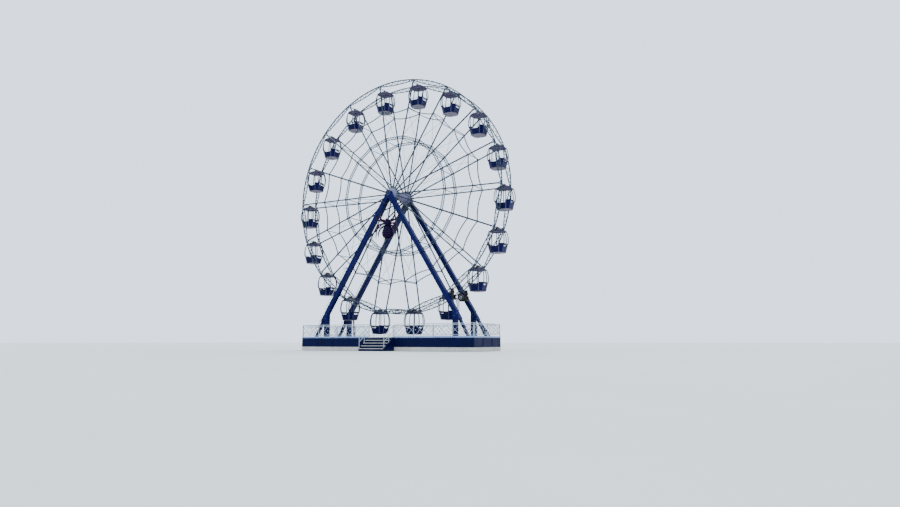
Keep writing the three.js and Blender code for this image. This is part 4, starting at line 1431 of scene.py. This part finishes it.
def build_gearbox(name, side, centre):
    """Gearbox on its bracket, with cooling ribs and the stub that the tyre turns on."""
    unit = Shape()
    y0, y1 = sorted((side * 0.96, side * (LEG_PLANE - LEG_DEPTH / 2)))
    # Corners of each casing from the tyre's centre: x, inset along the shaft, z, then x, z and the bevel
    casings = [
        (-0.2, 0.02, -0.2, 0.18, 0.2, 0.03),
        (-0.25, 0.02, -0.31, 0.47, -0.23, 0.01),
        (0.14, 0.04, -0.24, 0.46, 0.1, 0.02),
    ]
    casings += [(x, 0.01, -0.31, x + 0.02, 0.05, 0.003) for x in (-0.24, 0.08, 0.44)]
    for x, inset, z, x1, z1, bevel in casings:
        slab(unit, (centre.x + x, y0 + inset, centre.z + z), (centre.x + x1, y1, centre.z + z1), bevel)
    for i in range(7):
        z = centre.z - 0.13 + i * 0.043
        slab(unit, (centre.x - 0.17, y0, z), (centre.x + 0.1, y0 + 0.03, z + 0.018), 0.003)
    # Inner end, radius, steps, bevel and material of the stub's collar and of the stub
    for end, radius, steps, bevel, paint in ((0.915, 0.1, 24, 0.006, 0), (0.765, 0.029, 16, 0.004, 1)):
        ends = [(centre.x, side * y, centre.z) for y in (1, end)]
        rod(unit, *ends, radius, steps, bevel, paint)
    on_frame(unit, name + "_gearbox", "black_steel", [BLACK, SHAFT_STEEL], name + "_unit")


def build_motor(name, side, centre):
    """Ribbed motor on the gearbox, with its terminal box."""
    motor = Shape()
    profile = [(0, 0.06), (0.12, 0.06), (0.12, 0.1)]
    for i in range(11):
        z = 0.11 + i * 0.034
        profile += [(0.118, z), (0.148, z + 0.003), (0.148, z + 0.013), (0.118, z + 0.016)]
    profile += [(0.12, 0.49), (0.14, 0.5), (0.14, 0.545), (0.11, 0.56), (0, 0.56)]
    motor_y = side * 1.13
    motor.add(turned(profile, 40), Matrix.Translation((centre.x + 0.3, motor_y, centre.z)))
    terminals = (centre.x + 0.4375, motor_y)
    upright_box(motor, terminals, 0.0375, 0.05, centre.z + 0.2, centre.z + 0.34, 0.008)
    on_frame(motor, name + "_motor", "black_steel", [BLACK])


def build_drive(side_name, side):
    """Drive unit on a right leg."""
    low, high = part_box(f"{side_name}_drive_tyre")
    centre = (low + high) / 2
    build_tyre(side_name, centre, (high.x - low.x) / 2, (high.y - low.y) / 2)
    build_tyre_wheel(side_name, side, centre)
    build_gearbox(f"{side_name}_drive", side, centre)
    build_motor(f"{side_name}_drive", side, centre)


def build_stay(end_name, x):
    """Raking stay behind the rear A-frame, from its levelling foot to a seat plate on the leg."""
    name = f"rear_{end_name}_stay"
    foot = Vector((x * STAY_FOOT_X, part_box(name)[1].y - PAD_HALF, 0))
    leg_face = LEG_PLANE + LEG_DEPTH / 2
    start = foot + Z_AXIS * 0.56
    top = Vector((x * STAY_TOP[0], LEG_PLANE, STAY_TOP[1]))
    seat = start.lerp(top, (foot.y - leg_face - 0.02) / (foot.y - LEG_PLANE))
    shape = Shape()
    rod(shape, start, seat, 0.066, 20, 0.004)
    rod(shape, seat.lerp(start, 0.05), seat, 0.085, 20, 0.004)
    corner = Vector((0.11, 0, 0.14))
    middle = Vector((seat.x, leg_face, seat.z))
    slab(shape, middle - corner + Y_AXIS * 0.001, middle + corner + Y_AXIS * 0.024)
    jack(shape, foot.x, foot.y, 0.12, 0.42, (0.4, 0.66), 0.006, 0.3, 0.085)
    slab(shape, (foot.x - 0.07, LEG_PLANE + 0.152, 0.48), (foot.x + 0.07, foot.y, 0.62), 0.008)
    bolt_corners(shape, 0.014, foot + Z_AXIS * PAD_THICKNESS, 0.18, 0.18)
    on_frame(shape, name + "_tube", "grey_steel", [BLUE, GALVANISED], name)


for side_name, side in SIDES:
    build_bearing_head(side_name, side)
    build_drive(side_name, side)
    for end_name, x in ENDS:
        build_leg(side_name, side, end_name, x)
for end_name, x in ENDS:
    build_stay(end_name, x)


# Base


def build_chassis():
    """Two long beams on levelling feet and the cross beams between them."""
    shape = Shape()
    for side in BOTH:
        y = side * LEG_PLANE
        upright_box(shape, (0, y), 7.7, 0.15, 0.45, 0.475)
        upright_box(shape, (0, y), 7.7, 0.15, 0.875, 0.8995)
        upright_box(shape, (0, y), 7.7, 0.012, 0.47, 0.88, 0.003)
        for i in range(21):
            upright_box(shape, (i * 0.76 - 7.6, y), 0.008, 0.14, 0.47, 0.88, 0.002)
        for x in (-7.3, -2.6, 2.6, 7.3):
            jack(shape, x, y, 0.13, 0.4, (0.32, 0.5), 0.004, 0.22, 0.09)
    for x in (-7.4, -6.02, -2.6, 2.6, 6.02, 7.4):
        upright_box(shape, (x, 0), 0.125, 1.36, 0.5, 0.52, 0.003)
        upright_box(shape, (x, 0), 0.125, 1.36, 0.78, 0.7995, 0.003)
        upright_box(shape, (x, 0), 0.01, 1.48, 0.51, 0.79, 0.003)
    on_frame(shape, "base_beams", "grey_steel", [GALVANISED, SHAFT_STEEL], "chassis")


def outside_wells(low, high):
    """What is left of a stretch along X beside the two openings for the wheel's supports."""
    spans = [(low, high)]
    for x in BOTH:
        start, end = sorted((x * WELL_X[0], x * WELL_X[1]))
        parts = [part for s, e in spans for part in ((s, min(e, start)), (max(s, end), e))]
        spans = [(s, e) for s, e in parts if e - s > 0.05]
    return spans


def build_deck():
    """Tread plates with gaps between them, left out where the supports pass."""
    shape = Shape()
    rows = (-DECK_HALF_WIDTH, -WELL_Y[1], -WELL_Y[0], 0, WELL_Y[0], WELL_Y[1], DECK_HALF_WIDTH)
    edges = [DECK_HALF_LENGTH * (2 * i / DECK_PANELS - 1) for i in range(DECK_PANELS + 1)]
    underside = DECK_TOP - DECK_THICKNESS
    for low, high in zip(rows, rows[1:]):
        in_wells = {abs(low), abs(high)} == set(WELL_Y)
        for span in zip(edges, edges[1:]):
            for s, e in outside_wells(*span) if in_wells else [span]:
                corner = (s + PANEL_GAP, low + PANEL_GAP, underside)
                slab(shape, corner, (e - PANEL_GAP, high - PANEL_GAP, DECK_TOP))
    on_frame(shape, "deck_plates", "tread_plate", [TREAD], "deck")


def build_deck_bearers():
    """Cross bars and long bars below the deck plates."""
    underside = DECK_TOP - DECK_THICKNESS
    under = Shape()
    for x in (-7.55, -4.3, -1.5, 1.5, 4.3, 7.55):
        upright_box(under, (x, 0), 0.05, 2.15, CHASSIS_TOP, underside)
    for y in (-2.2, -1.83, -1.17, 0, 1.17, 1.83, 2.2):
        upright_box(under, (0, y), 7.88, 0.03, 0.92, 0.979, 0.003)
    on_frame(under, "deck_bearers", "grey_steel", [GALVANISED])


def scallop(width, drop):
    """Half-round pendant of the fringe, hanging from y = 0."""
    angles = [pi * i / 10 for i in range(11)]
    arc = [(width / 2 * cos(a), -drop * sin(a)) for a in angles]
    return plate([(-width / 2, 0.012), (width / 2, 0.012), *arc], 0.008, 0.0015)


def build_fringe(name, shape, start, way, length, gate):
    """Row of pendants below the skirt's lip, each with a lamp, left out at the gate."""
    out = way.cross(Z_AXIS)
    hanging = basis(way, Z_AXIS, out)
    count = round(length / SCALLOP_PITCH)
    lamps = Shape()
    for i in range(count):
        s = length * (i + 0.5) / count
        if gate and gate[0] - 0.05 < s < gate[1] + 0.05:
            continue
        centre = start + way * s + out * 0.044 + Z_AXIS * (SKIRT_TOP - 0.055)
        shape.add(scallop(length / count * 0.96, 0.085), Matrix.Translation(centre) @ hanging, 2)
        lamp(lamps, centre + out * 0.006 - Z_AXIS * 0.03, out, 0.016)
    on_frame(shape, f"{name}_skirt_panels", "navy_panel", [NAVY, PALE, FRINGE], f"{name}_fence")
    on_frame(lamps, f"{name}_skirt_lamps", "navy_panel", [GREY, GLASS])


def build_skirt(name, a, b, gate=None):
    """Panelled skirt below the deck's edge between two corners. A gate is a stretch without a lip."""
    a = Vector((*a, 0))
    b = Vector((*b, 0))
    way = (b - a).normalized()
    out = way.cross(Z_AXIS)
    length = (b - a).length
    shape = Shape()

    def piece(s, e, low, high, inner, outer, bevel=0.004, paint=0):
        """Bar along the skirt from s to e, between two heights and two distances out."""
        middle = a + way * (s + e) / 2 + out * (inner + outer) / 2 + Z_AXIS * (low + high) / 2
        place = Matrix.Translation(middle) @ basis(way, out, Z_AXIS)
        shape.add(block(e - s, outer - inner, high - low, bevel), place, paint)

    piece(0, length, 0.012, SILL_TOP, 0, 0.05, 0.006, 1)
    piece(0, length, SILL_TOP - 0.03, SILL_TOP, 0, 0.056, 0.004, 1)
    piece(0, length, SILL_TOP, DECK_TOP - 0.03, 0.004, 0.034, 0.003)
    for s, e in [(0, gate[0]), (gate[1], length)] if gate else [(0, length)]:
        piece(s, e, DECK_TOP - 0.03, SKIRT_TOP, 0.004, 0.034, 0.003)
        piece(s, e, SKIRT_TOP - 0.05, SKIRT_TOP, 0.002, 0.05, 0.006, 2)
    bays = round(length / SKIRT_BAY)
    joints = [length * i / bays for i in range(bays + 1)]
    for s in joints:
        piece(max(s - 0.03, 0), min(s + 0.03, length), SILL_TOP, SKIRT_TOP - 0.06, 0.03, 0.048)
    low = SILL_TOP + 0.09
    high = SKIRT_TOP - 0.24
    bead = 0.025
    for start, end in zip(joints, joints[1:]):
        s = start + 0.11
        e = end - 0.11
        level_bars = ((s, e, low, low + bead), (s, e, high - bead, high))
        for bar in (*level_bars, (s, s + bead, low, high), (e - bead, e, low, high)):
            piece(*bar, 0.03, 0.042, 0.003)
    build_fringe(name, shape, a, way, length, gate)


def build_railing(name, a, b, bays):
    """Railing above the skirt: posts with ball heads, handrail and two rails round the lattice."""
    a = Vector((*a, 0))
    b = Vector((*b, 0))
    way = (b - a).normalized()
    length = (b - a).length
    shape = Shape()
    low = Z_AXIS * (SKIRT_TOP + 0.1)
    high = Z_AXIS * (RAIL_TOP - 0.1)
    rod(shape, a + Z_AXIS * RAIL_TOP, b + Z_AXIS * RAIL_TOP, 0.022, 12, 0.004)
    for lift in (low, high):
        girder(shape, a + lift, b + lift, 0.028, 0.028, 0.004)
    for i in range(bays + 1):
        p = a + way * length * i / bays
        girder(shape, p + Z_AXIS * (SKIRT_TOP - 0.06), p + Z_AXIS * (RAIL_TOP - 0.01), 0.04, 0.04, 0.005)
        shape.add(ball(0.03, 12, 8), Matrix.Translation(p + Z_AXIS * (RAIL_TOP + 0.004)))
    on_frame(shape, f"{name}_railing", "navy_panel", [RAIL_PAINT])
    build_lattice(name, a, way, length, low, high)


def build_lattice(name, a, way, length, low, high):
    """Crossed flats between the two rails, with a diamond and a boss in each cell."""
    lattice = Shape()
    cells = round(length / (high - low).z)
    out = way.cross(Z_AXIS)
    front = out * 0.006
    boss = [(0, -0.014), (0.03, -0.014), (0.036, 0), (0.03, 0.014), (0, 0.014)]
    middle = (low + high) / 2
    for i in range(cells):
        p = a + way * length * i / cells
        q = a + way * length * (i + 1) / cells
        m = (p + q) / 2
        for start, end, shift, width, paint in (
            (p + low, q + high, front, 0.026, 0),
            (p + high, q + low, -front, 0.026, 0),
            (m + low, q + middle, front, 0.02, 1),
            (p + middle, m + low, -front, 0.02, 1),
            (p + middle, m + high, front, 0.02, 1),
            (m + high, q + middle, -front, 0.02, 1),
        ):
            girder(lattice, start + shift, end + shift, width, 0.01, 0.002, paint, out)
        lattice.add(turned(boss, 16), spot(m + middle, out), 1)
    on_frame(lattice, f"{name}_railing_lattice", "navy_panel", [NAVY, RAIL_PAINT])


def build_steps():
    """Stair up to the entrance, with its side plates."""
    low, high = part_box("front_steps")
    depth = (high.y - low.y) / STAIR_STEPS
    rise = DECK_TOP / STAIR_STEPS
    x0 = low.x + 0.04
    x1 = high.x - 0.04
    shape = Shape()
    for i in range(STAIR_STEPS):
        z = rise * (STAIR_STEPS - i)
        y1 = high.y - depth * i
        y0 = y1 - depth
        slab(shape, (x0, y0 - 0.004, z - 0.035), (x1, y1, z))
        slab(shape, (x0, y0 + 0.012, z - rise), (x1, y0 + 0.022, z - 0.03), 0.002, 1)
        slab(shape, (x0, y0 - 0.008, z - 0.04), (x1, y0 + 0.02, z + 0.001), 0.004, 2)
    outline = [(high.y, 0), (low.y, 0), (low.y, rise), (high.y, DECK_TOP + 0.02)]
    for x in (low.x + 0.02, high.x - 0.02):
        place = Matrix.Translation(X_AXIS * x) @ basis(Y_AXIS, Z_AXIS, X_AXIS)
        shape.add(plate(outline, 0.04, 0.004), place, 1)
    on_frame(shape, "front_stair", "tread_plate", [TREAD, NAVY, PALE], "front_steps")


def build_step_rails():
    """Handrails on both sides of the stair."""
    low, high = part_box("front_steps")
    rails = Shape()
    for x in (low.x + 0.02, high.x - 0.02):
        foot = Vector((x, low.y + 0.06, 0.2))
        head = Vector((x, high.y - 0.05, DECK_TOP))
        middle = foot.lerp(head, 0.5)
        middle.z = 0.65
        for p in (foot, middle, head):
            rod(rails, p - Z_AXIS * 0.05, p + Z_AXIS * 0.93, 0.019, 12, 0.002)
        for lift in (0.5, 0.93):
            rod(rails, foot + Z_AXIS * lift, head + Z_AXIS * lift, 0.021, 12, 0.004)
    on_frame(rails, "front_stair_rails", "navy_panel", [RAIL_PAINT])


def build_surround():
    """Skirts and railings round the deck, open at the entrance."""
    edge = DECK_HALF_LENGTH + 0.05
    inner = DECK_HALF_LENGTH
    wide = DECK_HALF_WIDTH
    gate = (edge - ENTRANCE_HALF_WIDTH, edge + ENTRANCE_HALF_WIDTH)
    build_skirt("front", (-edge, -wide), (edge, -wide), gate)
    build_skirt("rear", (edge, wide), (-edge, wide))
    build_skirt("left", (-inner, wide), (-inner, -wide))
    build_skirt("right", (inner, -wide), (inner, wide))
    rail_x = inner + 0.025
    rail_y = wide + 0.025
    door = ENTRANCE_HALF_WIDTH + 0.04
    build_railing("front_left", (-inner, -rail_y), (-door, -rail_y), 4)
    build_railing("front_right", (door, -rail_y), (inner, -rail_y), 4)
    build_railing("rear", (-inner, rail_y), (inner, rail_y), 8)
    for name, x in ENDS:
        build_railing(name, (x * rail_x, -2.18), (x * rail_x, 2.18), 2)


build_chassis()
build_deck()
build_deck_bearers()
build_surround()
build_steps()
build_step_rails()


# Spider figure

SPIDER_Y = -LEG_PLANE - 0.12
TOES_Y = -LEG_PLANE - LEG_DEPTH / 2 - 0.034
THORAX = Vector((0, SPIDER_Y, HUB.z - 2.47))
ABDOMEN = Vector((0, SPIDER_Y, HUB.z - 3.21))
ABDOMEN_GIRTH = 0.5
ABDOMEN_REACH = 0.57
# Depth of each limb's root below the hub, then distance out and depth of its elbow and of its tip
LIMBS = (
    (2.38, (0.55, 2.18), (0.72, 1.56)),
    (2.44, (0.8, 2.25), (1.12, 1.74)),
    (2.54, (0.82, 2.59), (1.06, 3.65)),
    (2.64, (0.66, 2.89), (0.83, 3.58)),
)


def limb(points, radii, samples=10):
    """Smooth tapering tube through a few points."""
    points = [Vector(p) for p in points]
    path = []
    widths = []
    last = len(points) - 1
    for i in range(last):
        before, start, end, after = (points[min(max(i + n, 0), last)] for n in (-1, 0, 1, 2))
        for s in range(samples):
            t = s / samples
            bend = (2 * before - 5 * start + 4 * end - after) * t ** 2
            bend += (3 * start - before - 3 * end + after) * t ** 3
            path.append((2 * start + (end - before) * t + bend) / 2)
            widths.append(radii[i] + (radii[i + 1] - radii[i]) * t)
    return tube([*path, points[-1]], [*widths, radii[-1]], 12)


def build_abdomen(body):
    """Banded abdomen, flatter from front to back."""
    angles = [pi * i / 20 for i in range(21)]
    profile = [(ABDOMEN_GIRTH * sin(a) * (1 + 0.1 * cos(a)), -ABDOMEN_REACH * cos(a)) for a in angles]
    place = Matrix.Translation(ABDOMEN) @ Matrix.Diagonal((1, 0.8, 1, 1))
    body.add(turned(profile, 40), place)
    for k in range(5):
        z = k * 0.18 - 0.36
        t = z / ABDOMEN_REACH
        radius = ABDOMEN_GIRTH * sqrt(1 - t ** 2) * (1 - 0.1 * t)
        band = ((0.004, -0.016), (0.014, 0), (0.004, 0.016), (-0.03, 0))
        body.add(washer([(radius + u, z + v) for u, v in band], 40), place, 1)


def build_spider_body():
    """Abdomen and thorax with a waist between them, fangs and eyes."""
    body = Shape()
    build_abdomen(body)
    body.add(ball(1, 32, 14), Matrix.Translation(THORAX) @ Matrix.Diagonal((0.29, 0.261, 0.31, 1)))
    rod(body, ABDOMEN + Z_AXIS * 0.5, THORAX - Z_AXIS * 0.2, 0.12, 20, 0.02)
    for side in BOTH:
        bends = ((0.06, -0.1, 0.2), (0.1, -0.16, 0.29), (0.05, -0.17, 0.36))
        fang = [THORAX + Vector((side * x, ahead, z)) for x, ahead, z in bends]
        body.add(limb(fang, [0.055, 0.045, 0.012]), None, 1)
        for x, z, size in ((0.06, 0.12, 0.034), (0.125, 0.1, 0.024), (0.035, 0.19, 0.022)):
            eye = THORAX + Vector((side * x, -0.215, z))
            body.add(ball(size, 14, 10), Matrix.Translation(eye), 1)
    on_frame(body, "spider_body", "figure_shell", [FIGURE, FIGURE_LEG], "spider_figure")


def build_spider_legs():
    """Eight limbs with a ball at each elbow, their tips on the front of the A-frame."""
    legs = Shape()
    for side, (root, bend, end) in product(BOTH, LIMBS):
        start = Vector((side * 0.12, SPIDER_Y, HUB.z - root))
        elbow = Vector((side * bend[0], TOES_Y, HUB.z - bend[1]))
        tip = Vector((side * end[0], TOES_Y, HUB.z - end[1]))
        legs.add(limb([start, start.lerp(elbow, 0.5) + Z_AXIS * 0.05, elbow], [0.06, 0.078, 0.06]))
        bow = elbow.lerp(tip, 0.5) + (elbow - start).normalized() * 0.09
        legs.add(limb([elbow, bow, tip], [0.062, 0.054, 0.02]))
        legs.add(ball(0.067, 14, 10), Matrix.Translation(elbow))
    on_frame(legs, "spider_legs", "figure_shell", [FIGURE_LEG])


build_spider_body()
build_spider_legs()


# Floor, light and camera

FLOOR_REACH = 400
STUDIO_COLOUR = (0.72, 0.84, 1.0, 1)
STUDIO_STRENGTH = 2.3
# Name, lean and heading in degrees, strength, and width of the sun's disc in degrees
SUNS = (("key_light", 42, 200, 1.6, 35), ("fill_light", 58, 40, 0.6, 50))
PICTURE_WIDTH = 900
FOCAL_PIXELS = 653.9
SENSOR_WIDTH = 36
CAMERA_AT = (28.99, -44.26, 0.7)
CAMERA_YAW = radians(-28.711)
CAMERA_PITCH = radians(7.69)


def build_stage():
    """Pale floor, soft sky and two suns."""
    mesh = bpy.data.meshes.new("floor")
    corners = ((-1, -1), (1, -1), (1, 1), (-1, 1))
    mesh.from_pydata([(x * FLOOR_REACH, y * FLOOR_REACH, 0) for x, y in corners], [], [(0, 1, 2, 3)])
    floor = added("floor", mesh)
    mesh.materials.append(floor_finish())

    world = bpy.data.worlds.new("studio")
    bpy.context.scene.world = world
    world.use_nodes = True
    background = world.node_tree.nodes["Background"]
    background.inputs["Color"].default_value = STUDIO_COLOUR
    background.inputs["Strength"].default_value = STUDIO_STRENGTH
    for name, lean, heading, strength, width in SUNS:
        light = bpy.data.lights.new(name, "SUN")
        light.energy = strength
        light.angle = radians(width)
        added(name, light).rotation_euler = (radians(lean), 0, radians(heading))


def build_camera():
    """Camera of the photograph, found from the rims, spokes and legs in it."""
    data = bpy.data.cameras.new("photo_camera")
    data.sensor_width = SENSOR_WIDTH
    data.lens = FOCAL_PIXELS / PICTURE_WIDTH * SENSOR_WIDTH
    data.clip_end = 1000
    camera = added("photo_camera", data)
    level = cos(CAMERA_PITCH)
    forward = Vector((sin(CAMERA_YAW) * level, cos(CAMERA_YAW) * level, sin(CAMERA_PITCH)))
    camera.location = CAMERA_AT
    camera.rotation_euler = forward.to_track_quat("-Z", "Y").to_euler()
    bpy.context.scene.camera = camera


build_stage()
build_camera()
